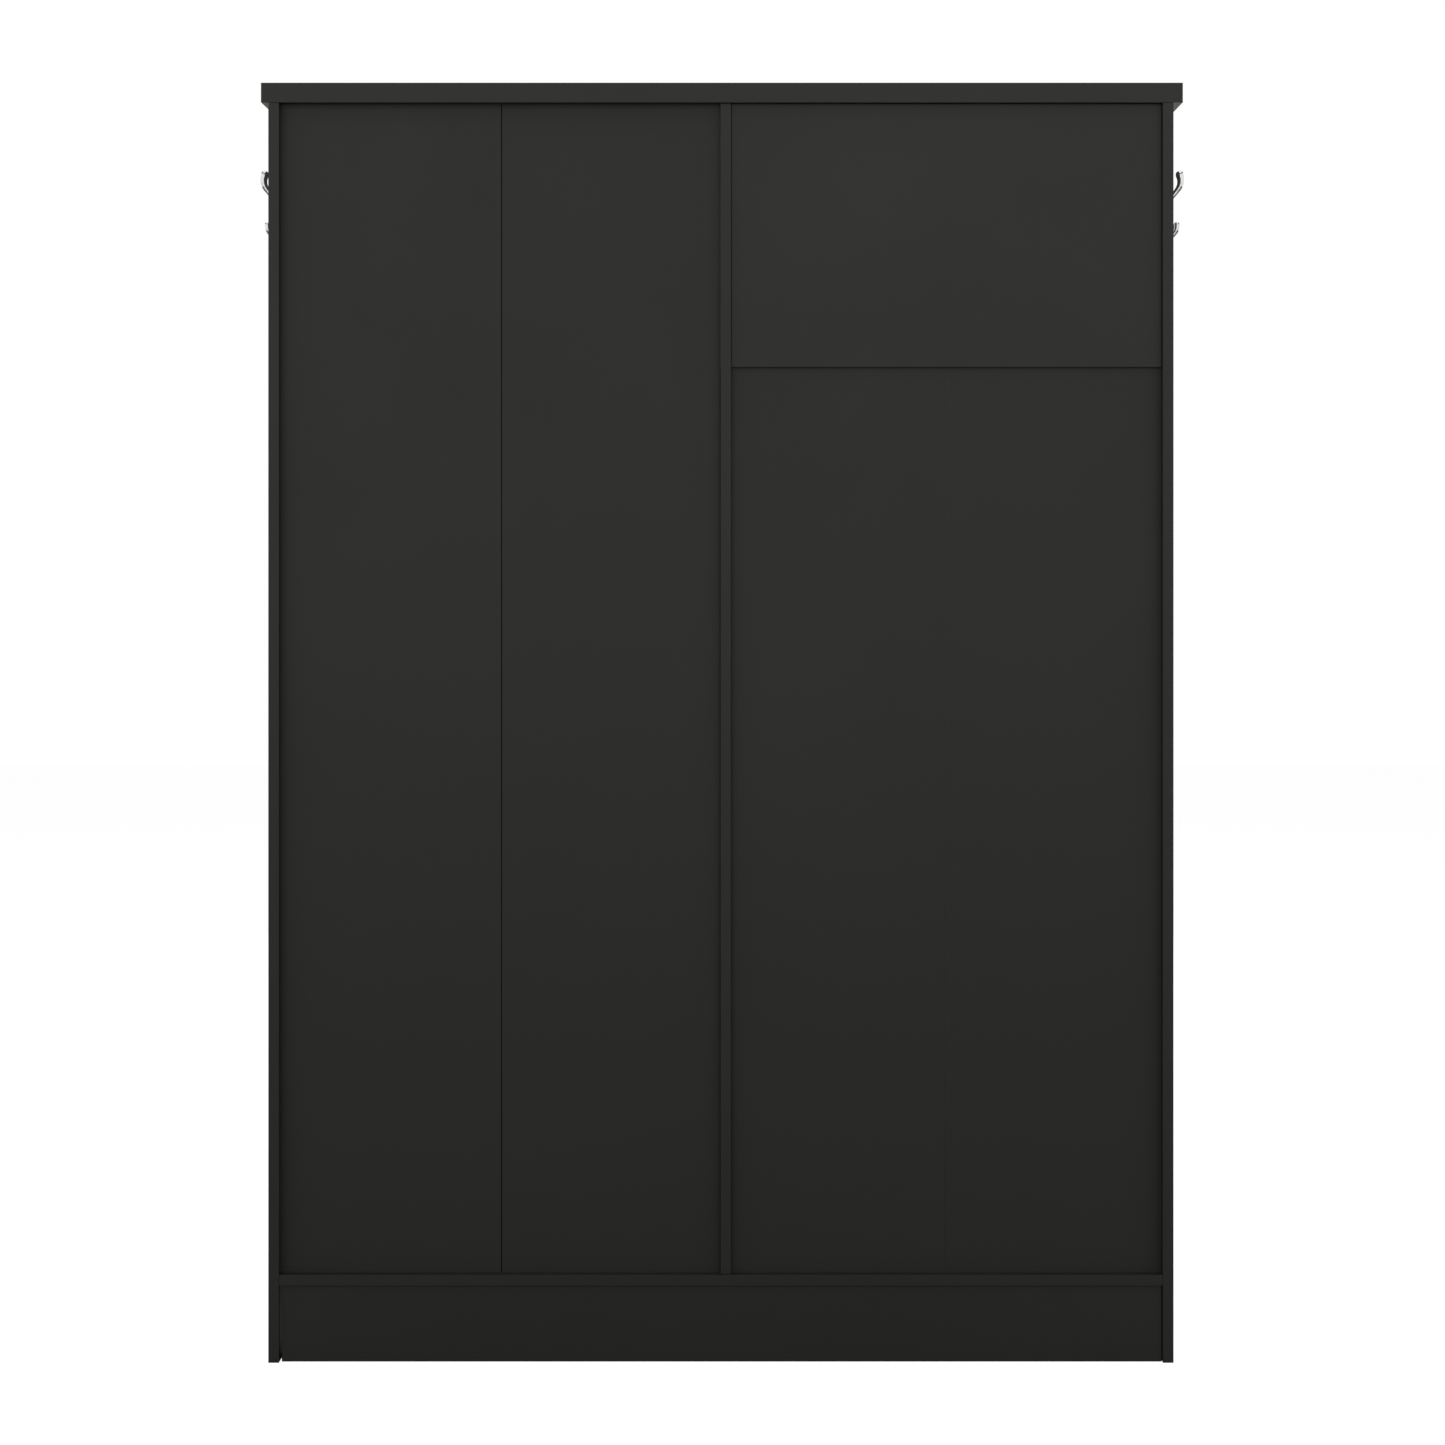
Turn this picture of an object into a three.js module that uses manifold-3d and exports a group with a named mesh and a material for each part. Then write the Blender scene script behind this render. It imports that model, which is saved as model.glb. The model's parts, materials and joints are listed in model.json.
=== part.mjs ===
// Four-door wardrobe on a plinth, with a coat hook on the outside of each side panel.
// Millimetres, +Z up. The doors face -Y and the back faces +Y. The origin is on the floor, in the
// middle of the whole object's width and depth. Left and right are as seen from the front.

import * as THREE from 'three';
import { mergeVertices } from 'three/addons/utils/BufferGeometryUtils.js';
import Module from 'manifold-3d';

const wasm = await Module();
wasm.setup();

// ---------------------------------------------------------------------------------------------
// Driving dimensions
// ---------------------------------------------------------------------------------------------

const HEIGHT = 1803;
const BODY_WIDTH = 1275;
const BODY_DEPTH = 504;
const BOARD = 15;
const FIT = 0.3; // clearance between pieces that meet

const TOP_WIDTH = 1298.5;
const TOP_THICKNESS = 28;
const TOP_SHIFT = -1.4; // the top sits this far to the left of the body
const TOP_FRONT_OVERHANG = 11; // past the doors' faces

const PLINTH_HEIGHT = 108.5;
const KICK_CLEARANCE = 0.5; // kick boards stay off the floor
const FRONT_KICK_SETBACK = 30;
const REAR_KICK_SPAN = [-621.5, 619.2];

const DIVIDER_CENTRE = -6.8;
const FIXED_SHELF_HEIGHT = 1403; // underside
const FIXED_SHELF_SETBACK = 2;
const LOOSE_SHELVES = 4;
const LOOSE_SHELF_SETBACK = 20;
const LOOSE_SHELF_PLAY = 0.6; // at each end

const DIVIDER_RECESS = 5; // each recess is measured in from the rear edges of the sides
const KICK_RECESS = 5;
const UPPER_BACK_RECESS = 10;
const BACK_RECESS = 17;
const BACK_THICKNESS = 3;
const GROOVE_DEPTH = 5;
const SEAM_SHIFT = 1.4; // each seam lies this far from mid-compartment, towards the divider
const OPEN_SEAM = 1.2;
const CLOSED_SEAM = 0.4;

const ROD_DIAMETER = 25;
const ROD_DROP = 65; // from the fixed shelf's underside to the rod's centre
const ROD_PLAY = 0.5; // between the rod and its sockets
const SOCKET_FLANGE = 3;
const SOCKET_FLANGE_RADIUS = 26;
const SOCKET_DEPTH = 14;
const SOCKET_WALL = 3;

const DOOR_THICKNESS = 15;
const DOOR_BACK_GAP = 2.5; // between a closed door and the body's front edges
const DOOR_SIDE_MARGIN = 1; // a closed door stops this far inside the body's outer face
const DOOR_GAP = 3;
const DOOR_BOTTOM = 110.5;
const DOOR_TOP = 1772;
const HINGE_AXIS_LEAD = 5; // the turning axis stands this far in front of a closed door's face

const HINGE_HEIGHTS = [210.5, 941, 1672];
const CUP_RADIUS = 17.5;
const CUP_DEPTH = 12;
const CUP_INSET = 22.5; // from the hinge edge of the door to the cup's centre
const CUP_FLANGE = { width: 20, height: 62, thickness: 1 };
// The arm's extents off its board, back from the board's front edge, and either way from its middle.
const ARM_PLATE = { off: [FIT, 4], back: [20, 60], half: 22 };
const ARM_BAR = { off: [3, 13], back: [2, 74], half: 7 };

const HANDLE_SPAN = 128;
const HANDLE_DIAMETER = 10;
const HANDLE_CORNER = 12;
const HANDLE_REACH = 25;
const HANDLE_INSET = 35; // from the free edge of the door
const HANDLE_HEIGHT = 1000;

const HOOK_FROM_REAR = 252;
const HOOK_PLATE = { width: 20, height: 74, thickness: 5, middle: 1638 };
// Each prong runs from its root to its tip: distance off the wall, height, radius.
const UPPER_PRONG = [
  [3, 1652, 5.6], [9, 1652.4, 5], [20, 1658.2, 4.2], [31, 1669, 3.8], [39, 1679, 4], [45.2, 1688.3, 4.9],
  [47.1, 1697.5, 5.7], [45.4, 1705.9, 6.5],
];
const LOWER_PRONG = [
  [3, 1622.8, 4.8], [9, 1621, 4.2], [17, 1613.4, 3.7], [26, 1610.6, 3.4], [34, 1614.6, 3.6],
  [39.8, 1623, 4.6], [41.1, 1630.7, 5.2],
];

// ---------------------------------------------------------------------------------------------
// Planes worked out from them
// ---------------------------------------------------------------------------------------------

const TOTAL_DEPTH = BODY_DEPTH + DOOR_BACK_GAP + DOOR_THICKNESS + HANDLE_REACH;
const REAR = TOTAL_DEPTH / 2;
const FRONT = REAR - BODY_DEPTH; // front edges of the body
const DOOR_REAR = FRONT - DOOR_BACK_GAP;
const DOOR_FACE = DOOR_REAR - DOOR_THICKNESS;

const OUTER = BODY_WIDTH / 2; // outer face of a side, either way from the middle
const INNER = OUTER - BOARD;
const CEILING = HEIGHT - TOP_THICKNESS; // underside of the top
const FLOOR = PLINTH_HEIGHT + BOARD; // upper face of the bottom panel
const DIVIDER_LEFT = DIVIDER_CENTRE - BOARD / 2;
const DIVIDER_RIGHT = DIVIDER_CENTRE + BOARD / 2;
const BACK_REAR = REAR - BACK_RECESS;
const BACK_FRONT = BACK_REAR - BACK_THICKNESS;
const UPPER_BACK_FRONT = REAR - UPPER_BACK_RECESS - BOARD;
const TONGUE = GROOVE_DEPTH - FIT; // how far a back panel reaches into a groove

// ---------------------------------------------------------------------------------------------
// Finishes
// ---------------------------------------------------------------------------------------------

const finish = (color, roughness, metalness) =>
  new THREE.MeshStandardMaterial({ color, roughness, metalness });

const BLACK_BOARD = finish(0x343433, 0.55, 0);
const BLACK_BACK = finish(0x313130, 0.6, 0);
const CHROME = finish(0xcfcfcf, 0.18, 1);
const NICKEL = finish(0xb4b2ae, 0.32, 1);
const STEEL = finish(0xa8a8a6, 0.35, 1);
const TUBE = finish(0xc4c4c4, 0.2, 1);

// ---------------------------------------------------------------------------------------------
// Shape helpers
// ---------------------------------------------------------------------------------------------

function toSolid(geometry) {
  const bare = geometry.clone();
  bare.deleteAttribute('normal');
  bare.deleteAttribute('uv');
  const merged = mergeVertices(bare, 1e-4);
  return new wasm.Manifold(new wasm.Mesh({
    numProp: 3,
    vertProperties: new Float32Array(merged.attributes.position.array),
    triVerts: new Uint32Array(merged.index.array),
  }));
}

function toGeometry(solid) {
  const { vertProperties, triVerts } = solid.getMesh();
  const geometry = new THREE.BufferGeometry();
  geometry.setAttribute('position', new THREE.BufferAttribute(vertProperties, 3));
  geometry.setIndex(new THREE.BufferAttribute(triVerts, 1));
  geometry.computeVertexNormals();
  return geometry;
}

function cut(geometry, cutters) {
  return toGeometry(cutters.reduce((left, cutter) => left.subtract(toSolid(cutter)), toSolid(geometry)));
}

function join(...geometries) {
  return toGeometry(geometries.map(toSolid).reduce((whole, piece) => whole.add(piece)));
}

// A rectangular block between two values along each axis.
function block([x0, x1], [y0, y1], [z0, z1]) {
  const geometry = new THREE.BoxGeometry(Math.abs(x1 - x0), Math.abs(y1 - y0), Math.abs(z1 - z0));
  return geometry.translate((x0 + x1) / 2, (y0 + y1) / 2, (z0 + z1) / 2);
}

// A disc or rod from y = near to y = far, about an axis along Y through (x, z).
function plug(radius, sides, x, z, near, far) {
  const geometry = new THREE.CylinderGeometry(radius, radius, far - near, sides);
  return geometry.translate(0, (near + far) / 2, 0).translate(x, 0, z);
}

// A plate with half-round ends, standing along Z, from y = near to y = far.
function roundEndedPlate(width, height, near, far, segments) {
  const radius = width / 2;
  const straight = height / 2 - radius;
  const outline = new THREE.Shape();
  outline.absarc(0, straight, radius, 0, Math.PI, false);
  outline.absarc(0, -straight, radius, Math.PI, 2 * Math.PI, false);
  const options = { depth: far - near, bevelEnabled: false, curveSegments: segments };
  return new THREE.ExtrudeGeometry(outline, options).rotateX(Math.PI / 2).translate(0, far, 0);
}

// A bar of regular section along a path.
function bar(path, radius, sides, steps) {
  const angles = Array.from({ length: sides }, (_, n) => 2 * Math.PI * n / sides);
  const section = new THREE.Shape(
    angles.map((angle) => new THREE.Vector2(radius * Math.cos(angle), radius * Math.sin(angle))));
  return new THREE.ExtrudeGeometry(section, { steps, extrudePath: path });
}

// A round bar through knots in the plane y = 0, thicker or thinner by the knot, with a ball on its end.
function taperedBar(knots, sides, steps) {
  const path = new THREE.CatmullRomCurve3(knots.map(([x, z, radius]) => new THREE.Vector3(x, radius, z)));
  const stations = path.getPoints(steps);
  const corners = stations.flatMap((here, n) => {
    const ahead = stations[Math.min(n + 1, steps)];
    const behind = stations[Math.max(n - 1, 0)];
    const run = new THREE.Vector2(ahead.x - behind.x, ahead.z - behind.z).normalize();
    return Array.from({ length: sides }, (_, k) => {
      const angle = 2 * Math.PI * k / sides;
      const off = here.y * Math.cos(angle);
      return [here.x - off * run.y, here.y * Math.sin(angle), here.z + off * run.x];
    });
  });
  const indices = [];
  for (let n = 0; n < steps; n += 1) {
    for (let k = 0; k < sides; k += 1) {
      const [a, b] = [n * sides + k, n * sides + (k + 1) % sides];
      indices.push(a, a + sides, b, b, a + sides, b + sides);
    }
  }
  for (let k = 1; k < sides - 1; k += 1) {
    indices.push(0, k, k + 1, steps * sides, steps * sides + k + 1, steps * sides + k);
  }
  const skin = new THREE.BufferGeometry();
  skin.setAttribute('position', new THREE.Float32BufferAttribute(corners.flat(), 3));
  skin.setIndex(indices);
  const [x, z, radius] = knots.at(-1);
  const ball = new THREE.SphereGeometry(radius, sides, sides).rotateX(Math.PI / 2).translate(x, 0, z);
  return join(skin, ball);
}

function named(name, geometry, material) {
  const mesh = new THREE.Mesh(geometry, material);
  mesh.name = name;
  return mesh;
}

// A board between two values along each axis, placed by its centre, less any cutters.
function board(name, material, x, y, z, cutters = []) {
  const centre = [x, y, z].map(([low, high]) => (low + high) / 2);
  const shifted = [block(x, y, z), ...cutters].map((g) => g.translate(...centre.map((c) => -c)));
  const mesh = named(name, cutters.length ? cut(shifted[0], shifted.slice(1)) : shifted[0], material);
  mesh.position.set(...centre);
  return mesh;
}

// The slot that the thin back panels slide into.
function backGroove(x, z) {
  return block(x, [BACK_FRONT - FIT, BACK_REAR + FIT], z);
}

// ---------------------------------------------------------------------------------------------
// Carcass
// ---------------------------------------------------------------------------------------------

function buildCarcass() {
  const carcass = new THREE.Group();
  const past = 1; // how far a cutter runs out of the face that it opens
  const grooveFoot = FLOOR - GROOVE_DEPTH;
  const leftGrooveHead = FIXED_SHELF_HEIGHT + GROOVE_DEPTH;
  const topGrooveRoof = CEILING + GROOVE_DEPTH;
  const underTop = CEILING - FIT;
  const bodyY = [FRONT, REAR];
  const topY = [DOOR_FACE - TOP_FRONT_OVERHANG, REAR];
  const topX = [TOP_SHIFT - TOP_WIDTH / 2, TOP_SHIFT + TOP_WIDTH / 2];
  const insideX = [-INNER + FIT, INNER - FIT];
  const leftX = [-INNER + FIT, DIVIDER_LEFT - FIT];

  carcass.add(
    board('top_panel', BLACK_BOARD, topX, topY, [CEILING, HEIGHT], [
      backGroove([DIVIDER_RIGHT - GROOVE_DEPTH, INNER + GROOVE_DEPTH], [CEILING - past, topGrooveRoof]),
    ]),
    board('side_panel_left', BLACK_BOARD, [-OUTER, -INNER], bodyY, [0, underTop], [
      backGroove([-INNER - GROOVE_DEPTH, -INNER + past], [grooveFoot, leftGrooveHead]),
    ]),
    board('side_panel_right', BLACK_BOARD, [INNER, OUTER], bodyY, [0, underTop], [
      backGroove([INNER - past, INNER + GROOVE_DEPTH], [grooveFoot, CEILING]),
    ]),
    board('divider_panel', BLACK_BOARD, [DIVIDER_LEFT, DIVIDER_RIGHT], [FRONT, REAR - DIVIDER_RECESS],
      [FLOOR + FIT, underTop], [
        backGroove([DIVIDER_LEFT - past, DIVIDER_LEFT + GROOVE_DEPTH], [FLOOR, leftGrooveHead]),
        backGroove([DIVIDER_RIGHT - GROOVE_DEPTH, DIVIDER_RIGHT + past], [FLOOR, CEILING]),
      ]),
    board('bottom_panel', BLACK_BOARD, insideX, bodyY, [PLINTH_HEIGHT, FLOOR], [
      backGroove([-INNER, INNER], [grooveFoot, FLOOR + past]),
    ]),
    board('fixed_shelf', BLACK_BOARD, leftX, [FRONT + FIXED_SHELF_SETBACK, UPPER_BACK_FRONT - FIT],
      [FIXED_SHELF_HEIGHT, FIXED_SHELF_HEIGHT + BOARD]),
    board('upper_back_board', BLACK_BOARD, leftX, [UPPER_BACK_FRONT, REAR - UPPER_BACK_RECESS],
      [FIXED_SHELF_HEIGHT, underTop], [
        backGroove([-INNER, DIVIDER_LEFT], [FIXED_SHELF_HEIGHT - past, leftGrooveHead]),
      ]),
  );
  return carcass;
}

// Two thin panels side by side close the back of each compartment, held in the grooves.
function buildBackPanels() {
  const panels = new THREE.Group();
  const y = [BACK_FRONT, BACK_REAR];
  const foot = FLOOR - TONGUE;
  const compartments = [
    { side: 'left', wall: -INNER, divider: DIVIDER_LEFT, roof: FIXED_SHELF_HEIGHT, seam: CLOSED_SEAM },
    { side: 'right', wall: INNER, divider: DIVIDER_RIGHT, roof: CEILING, seam: OPEN_SEAM },
  ];
  for (const { side, wall, divider, roof, seam } of compartments) {
    const outward = Math.sign(wall);
    const head = roof + TONGUE;
    const middle = (wall + divider) / 2 - outward * SEAM_SHIFT;
    const outerX = [middle + outward * seam / 2, wall + outward * TONGUE];
    const innerX = [divider - outward * TONGUE, middle - outward * seam / 2];
    panels.add(
      board(`back_panel_${side}_outer`, BLACK_BACK, outerX, y, [foot, head]),
      board(`back_panel_${side}_inner`, BLACK_BACK, innerX, y, [foot, head]),
    );
  }
  return panels;
}

function buildPlinth() {
  const plinth = new THREE.Group();
  const z = [KICK_CLEARANCE, PLINTH_HEIGHT - FIT];
  const frontY = [FRONT + FRONT_KICK_SETBACK, FRONT + FRONT_KICK_SETBACK + BOARD];
  const rearY = [REAR - KICK_RECESS - BOARD, REAR - KICK_RECESS];
  plinth.add(
    board('front_kick_board', BLACK_BOARD, [-INNER + FIT, INNER - FIT], frontY, z),
    board('rear_kick_board', BLACK_BOARD, REAR_KICK_SPAN, rearY, z),
    board('plinth_brace', BLACK_BOARD, [DIVIDER_LEFT, DIVIDER_RIGHT], [frontY[1] + FIT, rearY[0] - FIT], z),
  );
  return plinth;
}

// ---------------------------------------------------------------------------------------------
// Inside
// ---------------------------------------------------------------------------------------------

function buildLooseShelves() {
  const shelves = new THREE.Group();
  const x = [DIVIDER_RIGHT + LOOSE_SHELF_PLAY, INNER - LOOSE_SHELF_PLAY];
  const y = [FRONT + LOOSE_SHELF_SETBACK, BACK_FRONT - FIT];
  const space = (CEILING - FLOOR - LOOSE_SHELVES * BOARD) / (LOOSE_SHELVES + 1);
  for (let n = 1; n <= LOOSE_SHELVES; n += 1) {
    const z = FLOOR + n * space + (n - 1) * BOARD;
    shelves.add(board(`loose_shelf_${n}`, BLACK_BOARD, x, y, [z, z + BOARD]));
  }
  return shelves;
}

// A flanged cup that holds one end of the rod, on an axis along X. The flange is at x = 0.
function rodSocket(name) {
  const bore = ROD_DIAMETER / 2 + ROD_PLAY;
  const sleeve = bore + SOCKET_WALL;
  const flange = SOCKET_FLANGE_RADIUS;
  const depth = SOCKET_FLANGE + SOCKET_DEPTH;
  const profile = [
    [0, 0], [flange, 0], [flange, SOCKET_FLANGE], [sleeve, SOCKET_FLANGE],
    [sleeve, depth], [bore, depth], [bore, SOCKET_FLANGE], [0, SOCKET_FLANGE],
  ].map(([radius, along]) => new THREE.Vector2(radius, along));
  return named(name, new THREE.LatheGeometry(profile, 20).rotateZ(-Math.PI / 2), NICKEL);
}

function buildHangingRod() {
  const assembly = new THREE.Group();
  const inset = FIT + SOCKET_FLANGE + FIT;
  const length = DIVIDER_LEFT + INNER - 2 * inset;
  const radius = ROD_DIAMETER / 2;
  const rod = new THREE.CylinderGeometry(radius, radius, length, 20).rotateZ(Math.PI / 2);
  const left = rodSocket('rod_socket_left');
  const right = rodSocket('rod_socket_right');
  left.position.x = -(length / 2 + inset) + FIT;
  right.position.x = length / 2 + inset - FIT;
  right.rotation.z = Math.PI;
  assembly.add(named('hanging_rod', rod, TUBE), left, right);
  const middle = [(DIVIDER_LEFT - INNER) / 2, (FRONT + BACK_FRONT) / 2];
  assembly.position.set(...middle, FIXED_SHELF_HEIGHT - ROD_DROP);
  return assembly;
}

// ---------------------------------------------------------------------------------------------
// Doors
// ---------------------------------------------------------------------------------------------

// A door's own frame has its origin on the turning axis. `toward` is +1 when the leaf runs to +X.
const LEAF_FRONT = HINGE_AXIS_LEAD;
const LEAF_REAR = HINGE_AXIS_LEAD + DOOR_THICKNESS;
const PAIR_GAP_LEFT = DIVIDER_CENTRE - DOOR_GAP / 2;
const PAIR_GAP_RIGHT = DIVIDER_CENTRE + DOOR_GAP / 2;
const DOOR_OUTER = OUTER - DOOR_SIDE_MARGIN;
const LEFT_LEAF = (PAIR_GAP_LEFT + DOOR_OUTER - DOOR_GAP) / 2;
const RIGHT_LEAF = (DOOR_OUTER - PAIR_GAP_RIGHT - DOOR_GAP) / 2;

// `face` is the inner face that the door's hinges are fixed to.
const DOORS = [
  { name: 'left_outer', axis: -DOOR_OUTER, toward: 1, width: LEFT_LEAF, face: -INNER },
  { name: 'left_inner', axis: PAIR_GAP_LEFT, toward: -1, width: LEFT_LEAF, face: DIVIDER_LEFT },
  { name: 'right_inner', axis: PAIR_GAP_RIGHT, toward: 1, width: RIGHT_LEAF, face: DIVIDER_RIGHT },
  { name: 'right_outer', axis: DOOR_OUTER, toward: -1, width: RIGHT_LEAF, face: INNER },
];

// The hinge's cup with its two-eared flange, which lies on the rear face of the door.
function hingeCup() {
  const { width, height, thickness } = CUP_FLANGE;
  const seat = LEAF_REAR + FIT;
  const well = plug(CUP_RADIUS, 12, 0, 0, LEAF_REAR - CUP_DEPTH, seat + thickness);
  return join(well, roundEndedPlate(width, height, seat, seat + thickness, 2));
}

// The hinge's arm on its mounting plate. It lies on a board whose inner face is at x = 0.
function hingeArm(toward) {
  const part = ({ off, back, half }) => block(off.map((x) => toward * x), back, [-half, half]);
  return join(part(ARM_PLATE), part(ARM_BAR));
}

// A D-shaped grip. Its two feet stand on the face of the door.
function doorHandle() {
  const foot = LEAF_FRONT - FIT;
  const radius = HANDLE_DIAMETER / 2;
  const front = LEAF_FRONT - HANDLE_REACH + radius;
  const half = HANDLE_SPAN / 2;
  const corner = HANDLE_CORNER;
  const at = (y, z) => new THREE.Vector3(0, y, z);
  const line = (...ends) => new THREE.LineCurve3(...ends);
  const bend = (...points) => new THREE.QuadraticBezierCurve3(...points);
  const low = [at(foot, -half), at(front + corner, -half), at(front, -half), at(front, corner - half)];
  const high = low.map(({ y, z }) => at(y, -z)).reverse();
  const path = new THREE.CurvePath();
  path.add(line(low[0], low[1]));
  path.add(bend(...low.slice(1)));
  path.add(line(low[3], high[0]));
  path.add(bend(...high.slice(0, 3)));
  path.add(line(high[2], high[3]));
  return bar(path, radius, 8, 26);
}

function buildDoor({ name, axis, toward, width }) {
  const door = new THREE.Group();
  const cupX = toward * CUP_INSET;
  const x = toward > 0 ? [0, width] : [-width, 0];
  const bores = HINGE_HEIGHTS.map((z) =>
    plug(CUP_RADIUS + FIT, 12, cupX, z, LEAF_REAR - CUP_DEPTH - FIT, LEAF_REAR + 1));
  door.add(board(`door_${name}`, BLACK_BOARD, x, [LEAF_FRONT, LEAF_REAR], [DOOR_BOTTOM, DOOR_TOP], bores));

  HINGE_HEIGHTS.forEach((z, n) => {
    const cup = named(`hinge_cup_${name}_${n + 1}`, hingeCup(), STEEL);
    cup.position.set(cupX, 0, z);
    door.add(cup);
  });

  const handle = named(`handle_${name}`, doorHandle(), CHROME);
  handle.position.set(toward * (width - HANDLE_INSET), 0, HANDLE_HEIGHT);
  door.add(handle);

  door.position.set(axis, DOOR_FACE - HINGE_AXIS_LEAD, 0);
  return door;
}

function buildHingeArms({ name, toward, face }) {
  const arms = new THREE.Group();
  HINGE_HEIGHTS.forEach((z, n) => {
    const arm = named(`hinge_arm_${name}_${n + 1}`, hingeArm(toward), STEEL);
    arm.position.set(face, FRONT, z);
    arms.add(arm);
  });
  return arms;
}

// ---------------------------------------------------------------------------------------------
// Coat hooks
// ---------------------------------------------------------------------------------------------

// A cast double hook. It stands out along +X from a wall at x = 0, and z is the height off the floor.
function coatHook() {
  const { width, height, thickness, middle } = HOOK_PLATE;
  const plate = roundEndedPlate(width, height, 0, thickness - FIT, 3);
  plate.rotateZ(-Math.PI / 2).translate(FIT, 0, middle);
  return join(plate, taperedBar(UPPER_PRONG, 8, 14), taperedBar(LOWER_PRONG, 8, 12));
}

function buildCoatHooks() {
  const hooks = new THREE.Group();
  const left = named('coat_hook_left', coatHook(), CHROME);
  const right = named('coat_hook_right', coatHook(), CHROME);
  left.rotation.z = Math.PI;
  left.position.set(-OUTER, REAR - HOOK_FROM_REAR, 0);
  right.position.set(OUTER, REAR - HOOK_FROM_REAR, 0);
  hooks.add(left, right);
  return hooks;
}

// ---------------------------------------------------------------------------------------------

const wardrobe = new THREE.Group();
wardrobe.add(buildCarcass(), buildBackPanels(), buildPlinth(), buildLooseShelves(), buildHangingRod());
wardrobe.add(...DOORS.map(buildHingeArms), ...DOORS.map(buildDoor), buildCoatHooks());

export default wardrobe;
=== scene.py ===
"""A four-door wardrobe in matt black board, seen from behind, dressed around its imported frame.

The boards are the frame's own nodes with eased edges and a board finish. Everything smaller, such as
the coat hooks, handles, hinges, hanging rail, shelf pins and cam covers, is a new surface worked out
from the place of the node that it belongs to. All lengths are metres in the frame's own axes: +Z is
up, the doors face -Y and the back faces +Y.
"""

from __future__ import annotations

import json
import logging
import math
from dataclasses import dataclass
from enum import Enum

import bmesh
import bpy
import numpy as np
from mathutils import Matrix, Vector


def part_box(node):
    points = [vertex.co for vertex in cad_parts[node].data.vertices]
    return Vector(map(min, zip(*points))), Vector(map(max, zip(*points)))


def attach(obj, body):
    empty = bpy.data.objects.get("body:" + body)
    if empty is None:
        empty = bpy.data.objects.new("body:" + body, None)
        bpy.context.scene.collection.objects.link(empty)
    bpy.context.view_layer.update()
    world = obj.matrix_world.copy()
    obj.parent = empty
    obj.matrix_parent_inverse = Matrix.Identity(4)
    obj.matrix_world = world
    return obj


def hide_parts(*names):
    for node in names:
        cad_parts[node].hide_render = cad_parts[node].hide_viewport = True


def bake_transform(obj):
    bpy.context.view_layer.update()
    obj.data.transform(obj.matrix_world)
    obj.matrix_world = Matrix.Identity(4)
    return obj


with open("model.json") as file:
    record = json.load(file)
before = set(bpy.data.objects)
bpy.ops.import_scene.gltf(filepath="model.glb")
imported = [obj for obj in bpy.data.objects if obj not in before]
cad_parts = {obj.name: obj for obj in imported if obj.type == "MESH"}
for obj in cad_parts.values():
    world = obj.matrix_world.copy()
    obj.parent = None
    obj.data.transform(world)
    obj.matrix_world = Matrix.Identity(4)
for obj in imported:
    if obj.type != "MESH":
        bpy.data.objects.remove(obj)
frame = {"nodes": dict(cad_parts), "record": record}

LOG = logging.getLogger("wardrobe")
MM = 0.001
CARCASS = "carcass"
DOOR_NAMES = ("left_outer", "left_inner", "right_inner", "right_outer")
HINGES_PER_DOOR = 3
MERGE_DISTANCE = 1e-6
DEGENERATE_LENGTH = 1e-7
SHARP_ANGLE = math.radians(38)

X_AXIS = np.array([1.0, 0.0, 0.0])
Y_AXIS = np.array([0.0, 1.0, 0.0])
Z_AXIS = np.array([0.0, 0.0, 1.0])


# ---------------------------------------------------------------------------------------------
# Surfaces
# ---------------------------------------------------------------------------------------------


@dataclass
class Surface:
    """Points and faces of one or more closed skins."""

    points: np.ndarray
    faces: list[list[int]]

    def __add__(self, other: Surface) -> Surface:
        """Puts two surfaces in one mesh, without welding them."""
        moved = [[corner + len(self.points) for corner in face] for face in other.faces]
        return Surface(np.vstack([self.points, other.points]), self.faces + moved)


def joined(parts: list[Surface]) -> Surface:
    """Adds up a list of surfaces."""
    whole = parts[0]
    for part in parts[1:]:
        whole = whole + part
    return whole


def square_to(axis: np.ndarray) -> tuple[np.ndarray, np.ndarray, np.ndarray]:
    """Finds two directions that are square to an axis and to each other.

    Args:
        axis: A direction of any length.

    Returns:
        The axis at unit length, and u and v, which are unit cross products with it.
    """
    axis = axis / np.linalg.norm(axis)
    helper = X_AXIS if abs(axis[0]) < 0.9 else Y_AXIS
    u = np.cross(axis, helper)
    u /= np.linalg.norm(u)
    return axis, u, np.cross(axis, u)


def ring_skin(rings: np.ndarray, closed_loop: bool = False) -> Surface:
    """Joins a stack of rings into a closed skin.

    Point (i, j) of ring i is joined to its neighbours (i, j + 1) and (i + 1, j), with j running
    round the ring. The first and last rings are capped, unless the stack itself closes on itself.

    Args:
        rings: Points, as an array of rings by points by 3.
        closed_loop: True when the last ring is followed by the first.

    Returns:
        The skin.
    """
    count, around = rings.shape[:2]
    last = count if closed_loop else count - 1
    i, j = np.meshgrid(np.arange(last), np.arange(around), indexing="ij")
    here, there = i * around, ((i + 1) % count) * around
    nxt = (j + 1) % around
    quads = np.stack([here + j, here + nxt, there + nxt, there + j], axis=-1).reshape(-1, 4)
    faces = quads.tolist()
    if not closed_loop:
        faces.append(list(range(around))[::-1])
        faces.append([(count - 1) * around + k for k in range(around)])
    return Surface(rings.reshape(-1, 3), faces)


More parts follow.
